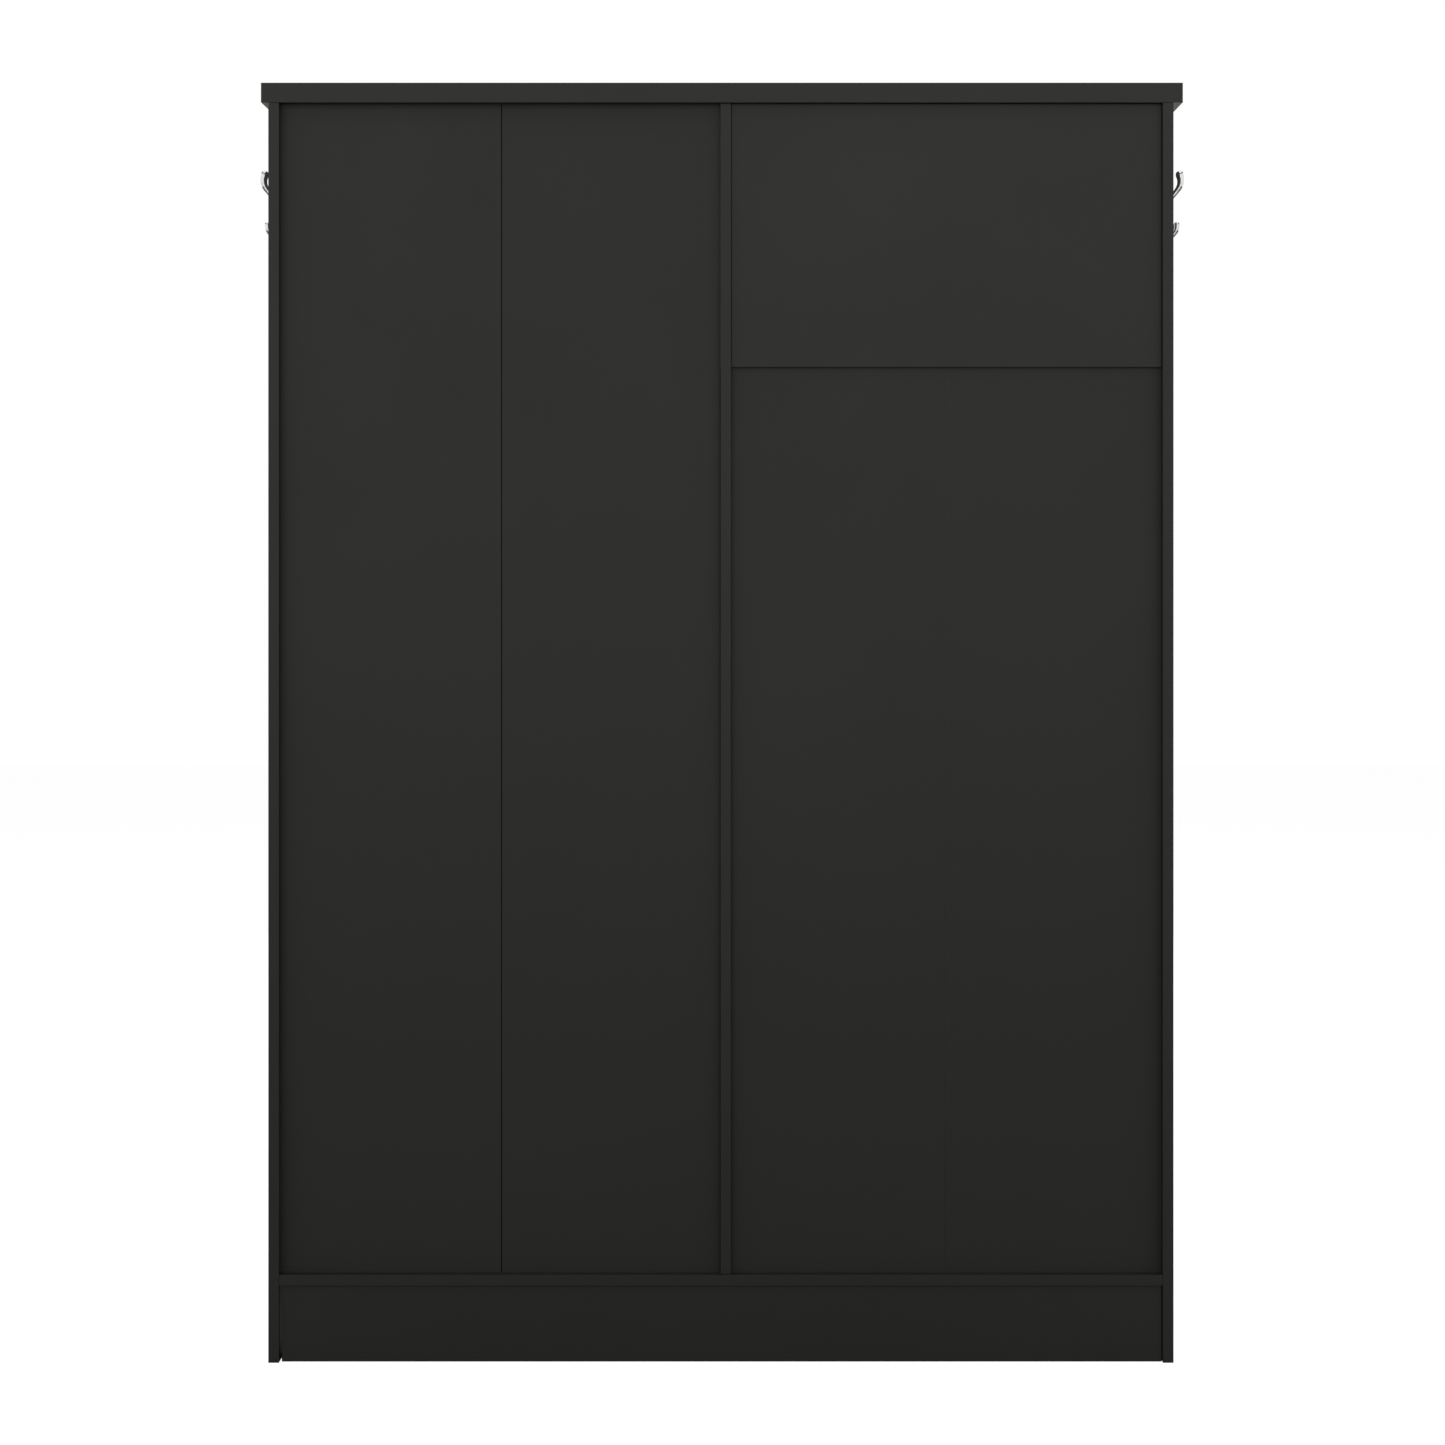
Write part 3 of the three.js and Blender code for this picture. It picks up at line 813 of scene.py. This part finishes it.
@dataclass
class CoatHooks:
    """Cast double hooks, one on the outside of each side panel.

    A knot of a prong is its distance off the wall, its height and its radius there, in millimetres.
    """

    palette: Palette
    upper_knots: tuple[tuple[float, float, float], ...] = (
        (1.5, 1652, 7.0), (9, 1652.3, 5.2), (20, 1658, 4.2), (31, 1669, 3.7), (39, 1679, 4.0),
        (45.2, 1688.3, 4.9), (47.1, 1697.5, 5.7), (45.4, 1705.9, 6.4))
    lower_knots: tuple[tuple[float, float, float], ...] = (
        (1.5, 1623, 6.0), (9, 1621, 4.4), (17, 1613.4, 3.8), (26, 1610.6, 3.4), (34, 1614.6, 3.6),
        (39.8, 1623, 4.5), (41.1, 1630.7, 5.1))
    flatness: float = 1.08
    plate_height: float = 74 * MM
    plate_width: float = 20 * MM
    plate_thickness: float = 4.4 * MM
    plate_middle: float = 1638 * MM
    plate_edge: float = 1.8 * MM
    wall_gap: float = 0.3 * MM
    screw_offset: float = 30 * MM
    screw_sink: float = 0.4 * MM
    screw_radius: float = 3.6 * MM
    screw_height: float = 1.5 * MM
    skin_step: float = 0.55 * MM
    fairing_steps: int = 8
    fairing: float = 0.6

    def build(self) -> None:
        """Makes both hooks with their screws."""
        for side, outward in (("left", -1), ("right", 1)):
            self._hook(side, outward)

    def _place(self, side: str, outward: int) -> tuple[float, float]:
        """Finds a hook's foot.

        Args:
            side: Which hook.
            outward: -1 to the left, 1 to the right.

        Returns:
            The x of the wall that it stands on, and the y of its middle.
        """
        wall = Extent.of(f"side_panel_{side}")
        hook = Extent.of(f"coat_hook_{side}")
        return (wall.high[0] if outward > 0 else wall.low[0]), hook.middle[1]

    def _prong(self, knots: tuple, outward: int, wall: float, y: float) -> Surface:
        """One curved prong, which swells towards its round tip."""
        line = spline_path(np.array(knots) * MM)
        path = np.stack([wall + outward * line[:, 0], np.full(len(line), y), line[:, 1]], 1)
        path, radius = round_end(path, line[:, 2])
        return swept(path, Y_AXIS, radius * self.flatness, radius, 24)

    def _hook(self, side: str, outward: int) -> None:
        """Fuses plate, prongs and tips into one cast skin, then adds the screws."""
        wall, y = self._place(side, outward)

        def at(height: float, z: float) -> np.ndarray:
            """A point at a height off the wall."""
            return np.array([wall + outward * height, y, z])

        base = plate(at(self.wall_gap + self.plate_thickness / 2, self.plate_middle), Z_AXIS, Y_AXIS,
                     (self.plate_height, self.plate_width, self.plate_thickness),
                     self.plate_width / 2, self.plate_edge, 8)
        prongs = [self._prong(knots, outward, wall, y) for knots in (self.upper_knots, self.lower_knots)]
        cast = make_piece(f"coat_hook_{side}_casting", joined([base, *prongs]), self.palette.chrome,
                          replaces=(f"coat_hook_{side}",))
        fused = cast.modifiers.new("fused_skin", "REMESH")
        fused.mode = "VOXEL"
        fused.voxel_size = self.skin_step
        fused.use_smooth_shade = True
        fair = cast.modifiers.new("fair_skin", "CORRECTIVE_SMOOTH")
        fair.use_only_smooth = True
        fair.iterations = self.fairing_steps
        fair.factor = self.fairing
        seat_height = self.wall_gap + self.plate_thickness - self.screw_sink
        for place, end in (("upper", 1), ("lower", -1)):
            seat = at(seat_height, self.plate_middle + end * self.screw_offset)
            screw = screw_head(seat, outward * X_AXIS, self.screw_radius, self.screw_height)
            make_piece(f"coat_hook_{side}_{place}_screw", screw, self.palette.steel)


# ---------------------------------------------------------------------------------------------
# Doors
# ---------------------------------------------------------------------------------------------


@dataclass
class DoorHandles:
    """D-shaped grips with turned feet, and the screws that hold them from inside."""

    palette: Palette
    corner: float = 13 * MM
    waist: float = 0.94
    flatness: float = 0.92
    foot_height: float = 9 * MM
    foot_radius: float = 7.5 * MM
    foot_to_grip: float = 1.45
    screw_radius: float = 4.2 * MM
    screw_height: float = 1.9 * MM

    def build(self) -> None:
        """Makes each door's handle."""
        for name in DOOR_NAMES:
            self._handle(name)

    def _handle(self, name: str) -> None:
        """Makes one handle, within its node's box.

        Args:
            name: The door's name.
        """
        grip = Extent.of(f"handle_{name}")
        leaf = Extent.of(f"door_{name}")
        radius = grip.size[0] / 2
        front = grip.low[1] + radius
        x, foot_y = grip.middle[0], grip.high[1]
        low, high = grip.low[2] + radius, grip.high[2] - radius
        corners = np.array([[x, foot_y, low], [x, front, low], [x, front, high], [x, foot_y, high]])
        path = rounded_path(corners, self.corner, 10)
        ends = np.minimum(np.arange(len(path)), np.arange(len(path))[::-1])
        thick = np.where(ends == 0, radius, radius * self.waist)
        parts = [swept(path, X_AXIS, thick, thick * self.flatness, 24)]
        rim = np.array([[0, 0], [1, 0], [1, 0.12], [0.93, 0.2],
                        [0.7, 0.26], [0.62, 0.4], [0.6, 0.5], [0, 0.5]])
        rosette = rim * [min(self.foot_radius, radius * self.foot_to_grip), self.foot_height]
        parts += [turned(rosette, np.array([x, foot_y, z]), -Y_AXIS, 28) for z in (low, high)]
        make_piece(f"door_handle_{name}", joined(parts), self.palette.satin, f"{name}_door",
                   (f"handle_{name}",))
        for label, z in (("lower", low), ("upper", high)):
            screw = screw_head(np.array([x, leaf.high[1], z]), Y_AXIS, self.screw_radius, self.screw_height)
            make_piece(f"handle_screw_{name}_{label}", screw, self.palette.steel,
                       f"{name}_door")


@dataclass
class Hinges:
    """Concealed hinges: a pressed cup in the door, an arm on its plate, and two links between.

    The arm's line gives the crown's distance off the board and back from the arm's front end, in
    millimetres.
    """

    palette: Palette
    opens_right: tuple[str, ...] = ("left_outer", "right_inner")
    cup_depth: float = 12 * MM
    cup_lift: float = 0.25 * MM
    ear_middle: float = 23.5 * MM
    ear_size: tuple[float, float, float] = (14 * MM, 15 * MM, 0.9 * MM)
    ear_screw: tuple[float, float] = (3.6 * MM, 0.6 * MM)
    rivet_spread: float = 6 * MM
    sheet: float = 1.1 * MM
    arm_line: tuple[tuple[float, float], ...] = (
        (11.3, 70), (11.6, 60), (11.8, 30), (12.2, 20), (12.2, 12), (11.6, 5), (10.2, 1.2))
    arm_width: float = 13.4 * MM
    arm_depth: float = 7.6 * MM
    wing_size: tuple[float, float, float] = (43 * MM, 15 * MM, 2 * MM)
    block_size: tuple[float, float, float] = (38 * MM, 11 * MM, 4.6 * MM)
    wing_screw: tuple[float, float] = (3.4 * MM, 1.3 * MM)
    arm_screw: tuple[float, float] = (2.9 * MM, 1.3 * MM)
    link_spread: float = 3.9 * MM
    link_half: tuple[float, float] = (0.9 * MM, 2.5 * MM)
    link_sink: float = 7.5 * MM

    def build(self) -> None:
        """Makes each door's hinges."""
        for name in DOOR_NAMES:
            for number in range(1, HINGES_PER_DOOR + 1):
                self._hinge(name, number)

    def _hinge(self, name: str, number: int) -> None:
        """Makes one hinge.

        Args:
            name: The door's name.
            number: Which of its hinges.
        """
        cup_box = Extent.of(f"hinge_cup_{name}_{number}")
        arm_box = Extent.of(f"hinge_arm_{name}_{number}")
        leaf = Extent.of(f"door_{name}")
        inward = 1.0 if name in self.opens_right else -1.0
        seat = np.array([cup_box.middle[0], leaf.high[1], cup_box.middle[2]])
        self._cup(name, number, seat, cup_box)
        wall = arm_box.low[0] if inward > 0 else arm_box.high[0]
        foot = np.array([wall, arm_box.low[1], arm_box.middle[2]])
        self._arm(name, number, foot, inward)
        self._links(name, number, foot, seat, inward)

    def _cup(self, name: str, number: int, seat: np.ndarray, box: Extent) -> None:
        """A pressed cup with a rolled rim and two screwed ears, sunk in the door's rear face.

        Its profile runs up the inside from the middle of the floor, over the rim and down the outside.
        Radii are counted from the node's radius. Heights are counted from the floor's underside or
        from the rim's seat.

        Args:
            name: The door's name.
            number: Which of its hinges.
            seat: The cup's middle, on the door's rear face.
            box: The cup node's box.
        """
        outer, floor, rim = box.size[0] / 2, -self.cup_depth, self.cup_lift
        inside = [(-4.0, 1.1), (-2.0, 2.2), (-1.3, 4.5)]
        over = [(-1.3, 0.0), (-0.6, 0.9), (1.0, 0.9), (1.4, 0.5), (1.4, 0.0), (-0.2, 0.0)]
        outside = [(-0.2, 3.4), (-1.6, 1.0), (-3.6, 0.0)]
        profile = np.vstack([
            [[0, floor + self.sheet]],
            np.array(inside) * MM + [outer, floor],
            np.array(over) * MM + [outer, rim],
            np.array(outside) * MM + [outer, floor],
            [[0, floor]]])
        parts = [turned(profile, seat, Y_AXIS, 40)]
        rivet = np.array([[0, 0], [2.2, 0], [2.2, 3.0], [1.6, 3.6], [0, 3.6]]) * MM
        for end in (-1, 1):
            centre = seat + [0, rim + self.ear_size[2] / 2, end * self.ear_middle]
            parts.append(plate(centre, Z_AXIS, X_AXIS, self.ear_size, 6 * MM, 0.3 * MM, 5))
            head = seat + [0, rim + 0.7 * MM, end * (self.ear_middle + 0.5 * MM)]
            parts.append(screw_head(head, Y_AXIS, *self.ear_screw))
            bottom = seat + [0, floor + self.sheet, end * self.rivet_spread]
            parts.append(turned(rivet, bottom, Y_AXIS, 16))
        make_piece(f"hinge_cup_{name}_{number}_pressing", joined(parts), self.palette.steel,
                   f"{name}_door", (f"hinge_cup_{name}_{number}",))

    def _arm(self, name: str, number: int, foot: np.ndarray, inward: float) -> None:
        """A winged mounting plate, and a pressed channel arm screwed over it.

        Args:
            name: The door's name.
            number: Which of its hinges.
            foot: Where the arm's front end meets the board.
            inward: The way off the board, along X.
        """

        def at(off: float, back: float, z: float = 0.0) -> np.ndarray:
            """A point at a distance off the board, and back from the arm's front end."""
            return foot + np.array([inward * off, back, z]) * MM

        wings = plate(at(1.0, 35), Z_AXIS, Y_AXIS, self.wing_size, 7 * MM, 0.6 * MM, 6)
        block = plate(at(2.4, 38), Y_AXIS, Z_AXIS, self.block_size, 2.5 * MM, 0.8 * MM, 4)
        path = spline_path(np.array(self.arm_line) * MM)
        crown = np.stack([foot[0] + inward * path[:, 0], foot[1] + path[:, 1],
                          np.full(len(path), foot[2])], 1)
        arm = channel(crown, Z_AXIS * inward, self.arm_width, self.arm_depth, self.sheet)
        screws = [screw_head(at(1.9, 35, z), inward * X_AXIS, *self.wing_screw) for z in (-15.5, 15.5)]
        screws += [screw_head(at(11.2, back), inward * X_AXIS, *self.arm_screw) for back in (28, 48)]
        make_piece(f"hinge_arm_{name}_{number}_pressing", joined([wings, block, arm, *screws]),
                   self.palette.steel, replaces=(f"hinge_arm_{name}_{number}",))

    def _links(self, name: str, number: int, foot: np.ndarray, seat: np.ndarray, inward: float) -> None:
        """Two flat links from the arm's nose into the cup.

        Args:
            name: The door's name.
            number: Which of its hinges.
            foot: Where the arm's front end meets the board.
            seat: The cup's middle, on the door's rear face.
            inward: The way off the board, along X.
        """
        start = foot + np.array([inward * 7.5, 3.0, 0]) * MM
        end = seat - self.link_sink * Y_AXIS
        steps = np.linspace(0, 1, 14)[:, None]
        thin, wide = (np.full(len(steps), half) for half in self.link_half)
        for label, z in (("upper", self.link_spread), ("lower", -self.link_spread)):
            path = start + steps * (end - start) + z * Z_AXIS
            bar = swept(path, Z_AXIS, thin, wide, 12, 0.6)
            link = make_piece(f"hinge_link_{name}_{number}_{label}", bar, self.palette.steel,
                              None)
            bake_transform(link)


@dataclass
class DoorBumpers:
    """Small soft studs on the inner face of each door, at the corners of its free edge."""

    palette: Palette
    radius: float = 4 * MM
    thickness: float = 1.6 * MM
    from_edge: float = 6.2 * MM
    from_end: float = 8 * MM
    flat_share: float = 0.6

    def build(self) -> None:
        """Makes each door's bumpers, whose radius falls to its flat share as the height rises."""
        t = np.linspace(0, np.pi / 2, 7)
        shrink = self.flat_share + (1 - self.flat_share) * np.cos(t)
        dome = np.stack([self.radius * shrink, self.thickness * np.sin(t)], 1)
        profile = np.vstack([[0, 0], dome, [0, self.thickness]])
        for name in DOOR_NAMES:
            leaf, grip = Extent.of(f"door_{name}"), Extent.of(f"handle_{name}")
            free_right = grip.middle[0] > leaf.middle[0]
            x = leaf.high[0] - self.from_edge if free_right else leaf.low[0] + self.from_edge
            for label, z in (("lower", leaf.low[2] + self.from_end), ("upper", leaf.high[2] - self.from_end)):
                stud = turned(profile, np.array([x, leaf.high[1], z]), Y_AXIS, 20)
                make_piece(f"bumper_{name}_{label}", stud, self.palette.clear_plastic,
                           f"{name}_door")


# ---------------------------------------------------------------------------------------------
# Inside
# ---------------------------------------------------------------------------------------------


@dataclass
class HangingRail:
    """A plated tube in two flanged sockets."""

    palette: Palette
    wall: float = 1.2 * MM

    def build(self) -> None:
        """Makes the tube and its sockets."""
        self._tube()
        self._socket("left", 1.0)
        self._socket("right", -1.0)

    def _tube(self) -> None:
        """A tube with rolled ends."""
        box = Extent.of("hanging_rod")
        outer, inner = box.size[2] / 2, box.size[2] / 2 - self.wall
        end, ease = box.size[0], 0.4 * MM
        profile = np.array([
            [inner, ease], [inner + ease, 0], [outer - ease, 0], [outer, ease],
            [outer, end - ease], [outer - ease, end], [inner + ease, end], [inner, end - ease]])
        start = np.array([box.low[0], box.middle[1], box.middle[2]])
        tube = turned(profile, start, X_AXIS, 64, closed_loop=True)
        make_piece("hanging_tube", tube, self.palette.tube, replaces=("hanging_rod",))

    def _socket(self, side: str, inward: float) -> None:
        """A socket turned from a stepped profile, with three screws in its flange.

        Args:
            side: Which end of the rail.
            inward: The way from the wall to the middle of the rail.
        """
        box = Extent.of(f"rod_socket_{side}")
        rod = Extent.of("hanging_rod")
        flange, depth = box.size[2] / 2 - 0.4 * MM, box.size[0]
        bore = rod.size[2] / 2 + 0.35 * MM
        sleeve = bore + 2.6 * MM
        profile = np.array([
            [0, 0], [flange, 0], [flange, 1.4 * MM], [flange - 1.2 * MM, 2.6 * MM],
            [sleeve + 2 * MM, 2.9 * MM], [sleeve + 0.5 * MM, 3.6 * MM], [sleeve, 5 * MM],
            [sleeve, depth - 0.8 * MM], [sleeve - 0.8 * MM, depth],
            [bore + 0.5 * MM, depth], [bore, depth - 0.5 * MM], [bore, 3.0 * MM], [0, 3.0 * MM]])
        wall = box.low[0] if inward > 0 else box.high[0]
        foot = np.array([wall, box.middle[1], box.middle[2]])
        parts = [turned(profile, foot, inward * X_AXIS, 56)]
        ring = (flange + sleeve) / 2 + 1.2 * MM
        for angle in np.radians([90, 210, 330]):
            spot = foot + [inward * 2.4 * MM, ring * math.cos(angle), ring * math.sin(angle)]
            parts.append(screw_head(spot, inward * X_AXIS, 2.6 * MM, 1.2 * MM))
        make_piece(f"rail_socket_{side}", joined(parts), self.palette.steel,
                   replaces=(f"rod_socket_{side}",))


@dataclass
class ShelfPins:
    """Four pins with a flat tongue under each loose shelf."""

    palette: Palette
    from_front: float = 50 * MM
    from_rear: float = 55 * MM

    def build(self) -> None:
        """Makes the pins of every loose shelf."""
        shelves = sorted(name for name in frame["nodes"] if name.startswith("loose_shelf_"))
        for name in shelves:
            self._pins(name)

    def _pins(self, shelf: str) -> None:
        """Makes one shelf's pins as one piece.

        Args:
            shelf: The shelf's node.
        """
        box = Extent.of(shelf)
        left, right = Extent.of("divider_panel").high[0], Extent.of("side_panel_right").low[0]
        collar = np.array([[0, 0], [4.2, 0], [4.2, 0.9], [3.6, 1.5], [0, 1.5]]) * MM
        parts = []
        for wall, inward in ((left, 1.0), (right, -1.0)):
            for y in (box.low[1] + self.from_front, box.high[1] - self.from_rear):
                seat = np.array([wall, y, box.low[2] - 3.4 * MM])
                parts.append(turned(collar, seat, inward * X_AXIS, 20))
                tongue = seat + np.array([inward * 6.5, 0, 2.3]) * MM
                parts.append(plate(tongue, X_AXIS, Y_AXIS, (13 * MM, 9 * MM, 1.8 * MM), 3 * MM, 0.5 * MM, 5))
                gusset = seat + np.array([inward * 4.2, 0, 0.4]) * MM
                parts.append(plate(gusset, X_AXIS, Z_AXIS, (7 * MM, 3 * MM, 1.6 * MM), 0.8 * MM, 0.4 * MM, 3))
        make_piece(f"{shelf}_pins", joined(parts), self.palette.steel)


@dataclass
class SeamTapes:
    """Black tape over the inside of each seam in the back, and strips of painted shade beside the divider.

    The tight seam is also filled. The strips are thin black sheets on the panels: painted shade that stands
    for the shadowed gap along the divider.
    """

    palette: Palette
    width: float = 26 * MM
    thickness: float = 0.2 * MM
    tight_seam: float = 0.6 * MM
    ease: float = 0.03 * MM
    below_face: float = 0.03 * MM
    # Sizes of the black strips of painted shade beside the divider.
    shadow_strip_widths: tuple[float, float] = (0.45 * MM, 0.8 * MM)
    shadow_strip_thickness: float = 0.16 * MM
    shadow_strip_rise: float = 0.3
    shadow_strip_end_gap: float = 1 * MM

    def build(self) -> None:
        """Makes the tape and the painted-shadow strip of each compartment."""
        for side, roof, width in zip(("left", "right"), ("fixed_shelf", "top_panel"), self.shadow_strip_widths):
            self._tape(side, Extent.of(roof).low[2])
            self._painted_shadow_strip(side, width)

    def _painted_shadow_strip(self, side: str, width: float) -> None:
        """Makes one painted-shadow strip, as high as the fixed shelf, in the corner of a panel and the
        divider.

        Args:
            side: Which compartment.
            width: How far it reaches over the panel.
        """
        divider, panel = Extent.of("divider_panel"), Extent.of(f"back_panel_{side}_inner")
        x = divider.low[0] - width / 2 if side == "left" else divider.high[0] + width / 2
        foot = Extent.of("bottom_panel").high[2] + self.shadow_strip_end_gap
        head = Extent.of("fixed_shelf").low[2] - self.shadow_strip_end_gap
        middle = np.array([x, panel.high[1] + self.shadow_strip_thickness * self.shadow_strip_rise, (foot + head) / 2])
        # Painted shade: this black sheet on the panel stands in for the shadow in the narrow gap beside the
        # divider.
        shadow_strip = plate(middle, Z_AXIS, X_AXIS, (head - foot, width, self.shadow_strip_thickness),
                     self.ease, self.ease, 2)
        make_piece(f"divider_painted_shadow_{side}", shadow_strip, self.palette.tape)

    def _tape(self, side: str, head: float) -> None:
        """Makes one tape.

        Args:
            side: Which compartment.
            head: Height of the compartment's roof.
        """
        first, second = (Extent.of(f"back_panel_{side}_{place}") for place in ("outer", "inner"))
        near, far = sorted((first, second), key=lambda extent: extent.low[0])
        seam = (near.high[0] + far.low[0]) / 2
        gap = far.low[0] - near.high[0]
        foot = Extent.of("bottom_panel").high[2]
        height, middle = head - foot - 2 * MM, (head + foot) / 2
        tape = plate(np.array([seam, near.low[1] - self.thickness / 2, middle]), Z_AXIS, X_AXIS,
                     (height, self.width, self.thickness), 1 * MM, 0.05 * MM, 3)
        make_piece(f"seam_tape_{side}", tape, self.palette.tape)
        if gap < self.tight_seam:
            depth = near.size[1] - self.below_face
            filler = plate(np.array([seam, near.low[1] + depth / 2, middle]), Z_AXIS, X_AXIS,
                           (height, gap, depth), self.ease, self.ease, 2)
            make_piece(f"seam_filler_{side}", filler, self.palette.back)


@dataclass
class CamCovers:
    """Low plastic caps over the cam fittings on the hidden side of each joint."""

    palette: Palette
    radius: float = 8.8 * MM
    height: float = 0.9 * MM
    from_end: float = 34 * MM

    def build(self) -> None:
        """Makes the caps, joined by the board that they sit on."""
        depth = Extent.of("side_panel_left")
        rows = (depth.low[1] + 60 * MM, depth.middle[1], depth.high[1] - 70 * MM)
        self._row("fixed_shelf", -Z_AXIS, rows)
        self._row("bottom_panel", -Z_AXIS, rows)
        self._uprights(rows)

    def _cap(self, seat: np.ndarray, axis: np.ndarray) -> Surface:
        """One cap: a low dome with a softened rim."""
        t = np.linspace(0, np.pi / 2, 6)
        dome = np.stack([self.radius * np.cos(t) ** 0.25, self.height * np.sin(t)], 1)
        dome[-1, 0] = 0
        return turned(np.vstack([[0, 0], dome]), seat, axis, 28)

    def _row(self, board: str, facing: np.ndarray, rows: tuple[float, ...]) -> None:
        """Caps near both ends of a level board, on its underside."""
        box = Extent.of(board)
        caps = []
        for x in (box.low[0] + self.from_end, box.high[0] - self.from_end):
            caps += [self._cap(np.array([x, y, box.low[2]]), facing) for y in rows]
        make_piece(f"{board}_cam_covers", joined(caps), self.palette.black_plastic)

    def _uprights(self, rows: tuple[float, ...]) -> None:
        """Caps just under the top, on the inner faces of the sides and the divider."""
        z = Extent.of("top_panel").low[2] - self.from_end
        for board, x, axis in (
                ("side_panel_left", Extent.of("side_panel_left").high[0], X_AXIS),
                ("side_panel_right", Extent.of("side_panel_right").low[0], -X_AXIS),
                ("divider_panel", Extent.of("divider_panel").high[0], X_AXIS)):
            caps = [self._cap(np.array([x, y, z]), axis) for y in rows[:2]]
            make_piece(f"{board}_cam_covers", joined(caps), self.palette.black_plastic)


# ---------------------------------------------------------------------------------------------
# Studio
# ---------------------------------------------------------------------------------------------


@dataclass
class Studio:
    """A white floor and ground, soft light walls all round, and the camera behind the wardrobe."""

    camera_distance: float = 4.2
    camera_height: float = 1.128
    camera_side: float = -0.034
    lens: float = 74.3
    shift: tuple[float, float] = (-0.0156, -0.1111)
    wall_distance: float = 4.6
    wall_size: tuple[float, float] = (9.0, 3.7)
    wall_foot: float = 0.35
    wall_radiance: float = 0.725
    front_radiance: float = 1.6
    plinth_radiance: float = 0.2
    plinth_place: tuple[float, float, float] = (0, 0.02, 0.002)
    plinth_size: tuple[float, float] = (1.22, 0.42)
    roof_radiance: float = 0.8
    ground_light: float = 0.14
    floor_size: tuple[float, float] = (24.0, 0.02)
    floor_glow: float = 0.94
    floor_tone: float = 0.25

    def build(self) -> None:
        """Makes the floor, the ground, the lights and the camera."""
        self._floor()
        self._ground()
        self._light_walls()
        self._roof()
        self._plinth_glow()
        self._camera()

    def _floor(self) -> None:
        """A wide floor that glows a little, so that it stays pale and takes only a faint shadow."""
        width, thickness = self.floor_size
        slab = plate(-thickness / 2 * Z_AXIS, X_AXIS, Y_AXIS, (width, width, thickness), 0.5, 0.005, 6)
        mesh = bpy.data.meshes.new("studio_floor")
        mesh.from_pydata(slab.points.tolist(), [], slab.faces)
        floor = bpy.data.objects.new("studio_floor", mesh)
        bpy.context.scene.collection.objects.link(floor)
        material, graph, shader = new_material("pale_floor")
        seen = graph.add("LightPath").outputs["Is Camera Ray"]
        glow = graph.math("MULTIPLY", seen, self.floor_glow)
        graph.tree.links.new(glow, shader.inputs["Emission Strength"])
        shader.inputs["Base Color"].default_value = grey(self.floor_tone)
        shader.inputs["Roughness"].default_value = 0.9
        shader.inputs["Emission Color"].default_value = grey(1.0)
        mesh.materials.append(material)
        floor.visible_shadow = False

    def _ground(self) -> None:
        """White to the camera, and a soft grey to everything else."""
        world = bpy.data.worlds.new("ground")
        bpy.context.scene.world = world
        world.use_nodes = True
        graph = Graph(world.node_tree)
        graph.tree.nodes.clear()
        seen = graph.add("LightPath").outputs["Is Camera Ray"]
        strength = graph.between(seen, 0.0, 1.0, self.ground_light, 1.0)
        ground = graph.add("Background", {"Color": grey(1.0), "Strength": strength})
        graph.add("OutputWorld", {"Surface": ground.outputs["Background"]})

    def _area(self, name: str, place: tuple, turn: tuple, size: tuple[float, float], radiance: float,
              ) -> bpy.types.Object:
        """One soft light.

        Its power is the radiance times pi times its area.

        Args:
            name: The light's name.
            place: Its middle.
            turn: Its turn about X, Y and Z, in degrees; unturned it faces down.
            size: Its width and height.
            radiance: How bright its face is.

        Returns:
            The light's object.
        """
        light = bpy.data.lights.new(name, "AREA")
        light.shape = "RECTANGLE"
        light.size, light.size_y = size
        light.energy = radiance * math.pi * size[0] * size[1]
        holder = bpy.data.objects.new(name, light)
        holder.location = place
        holder.rotation_euler = [math.radians(angle) for angle in turn]
        holder.visible_camera = False
        bpy.context.scene.collection.objects.link(holder)
        return holder

    def _light_walls(self) -> None:
        """Four tall lights that stand round the wardrobe and face it."""
        for name, angle in (("back", 90), ("right", 0), ("front", -90), ("left", 180)):
            turn = math.radians(angle)
            place = (self.wall_distance * math.cos(turn), self.wall_distance * math.sin(turn),
                     self.wall_foot + self.wall_size[1] / 2)
            radiance = self.front_radiance if name == "front" else self.wall_radiance
            self._area(f"light_wall_{name}", place, (90, 0, angle + 90), self.wall_size, radiance)

    def _roof(self) -> None:
        """One broad light overhead."""
        self._area("light_roof", (0, 0, 4.2), (0, 0, 0), (5.0, 5.0), self.roof_radiance)

    def _plinth_glow(self) -> None:
        """A low light on the floor inside the hollow plinth, as white ground would give."""
        self._area("light_plinth", self.plinth_place, (180, 0, 0), self.plinth_size, self.plinth_radiance)

    def _camera(self) -> None:
        """A level camera behind the wardrobe, at the height of its upper half."""
        rear = Extent.of("side_panel_left").high[1]
        data = bpy.data.cameras.new("camera")
        data.lens = self.lens
        data.sensor_width = 36
        data.shift_x, data.shift_y = self.shift
        camera = bpy.data.objects.new("camera", data)
        camera.location = (self.camera_side, rear + self.camera_distance, self.camera_height)
        camera.rotation_euler = (math.radians(90), 0, math.radians(180))
        bpy.context.scene.collection.objects.link(camera)
        bpy.context.scene.camera = camera
        bpy.context.scene.view_settings.view_transform = "Standard"


def main() -> None:
    """Builds the wardrobe's pieces in order, then the studio round it."""
    logging.basicConfig(level=logging.INFO, format="%(name)s %(message)s")
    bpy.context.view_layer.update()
    palette = Palette()
    Boards(palette).dress()
    CoatHooks(palette).build()
    DoorHandles(palette).build()
    Hinges(palette).build()
    DoorBumpers(palette).build()
    HangingRail(palette).build()
    ShelfPins(palette).build()
    SeamTapes(palette).build()
    CamCovers(palette).build()
    Studio().build()


if __name__ == "__main__":
    main()
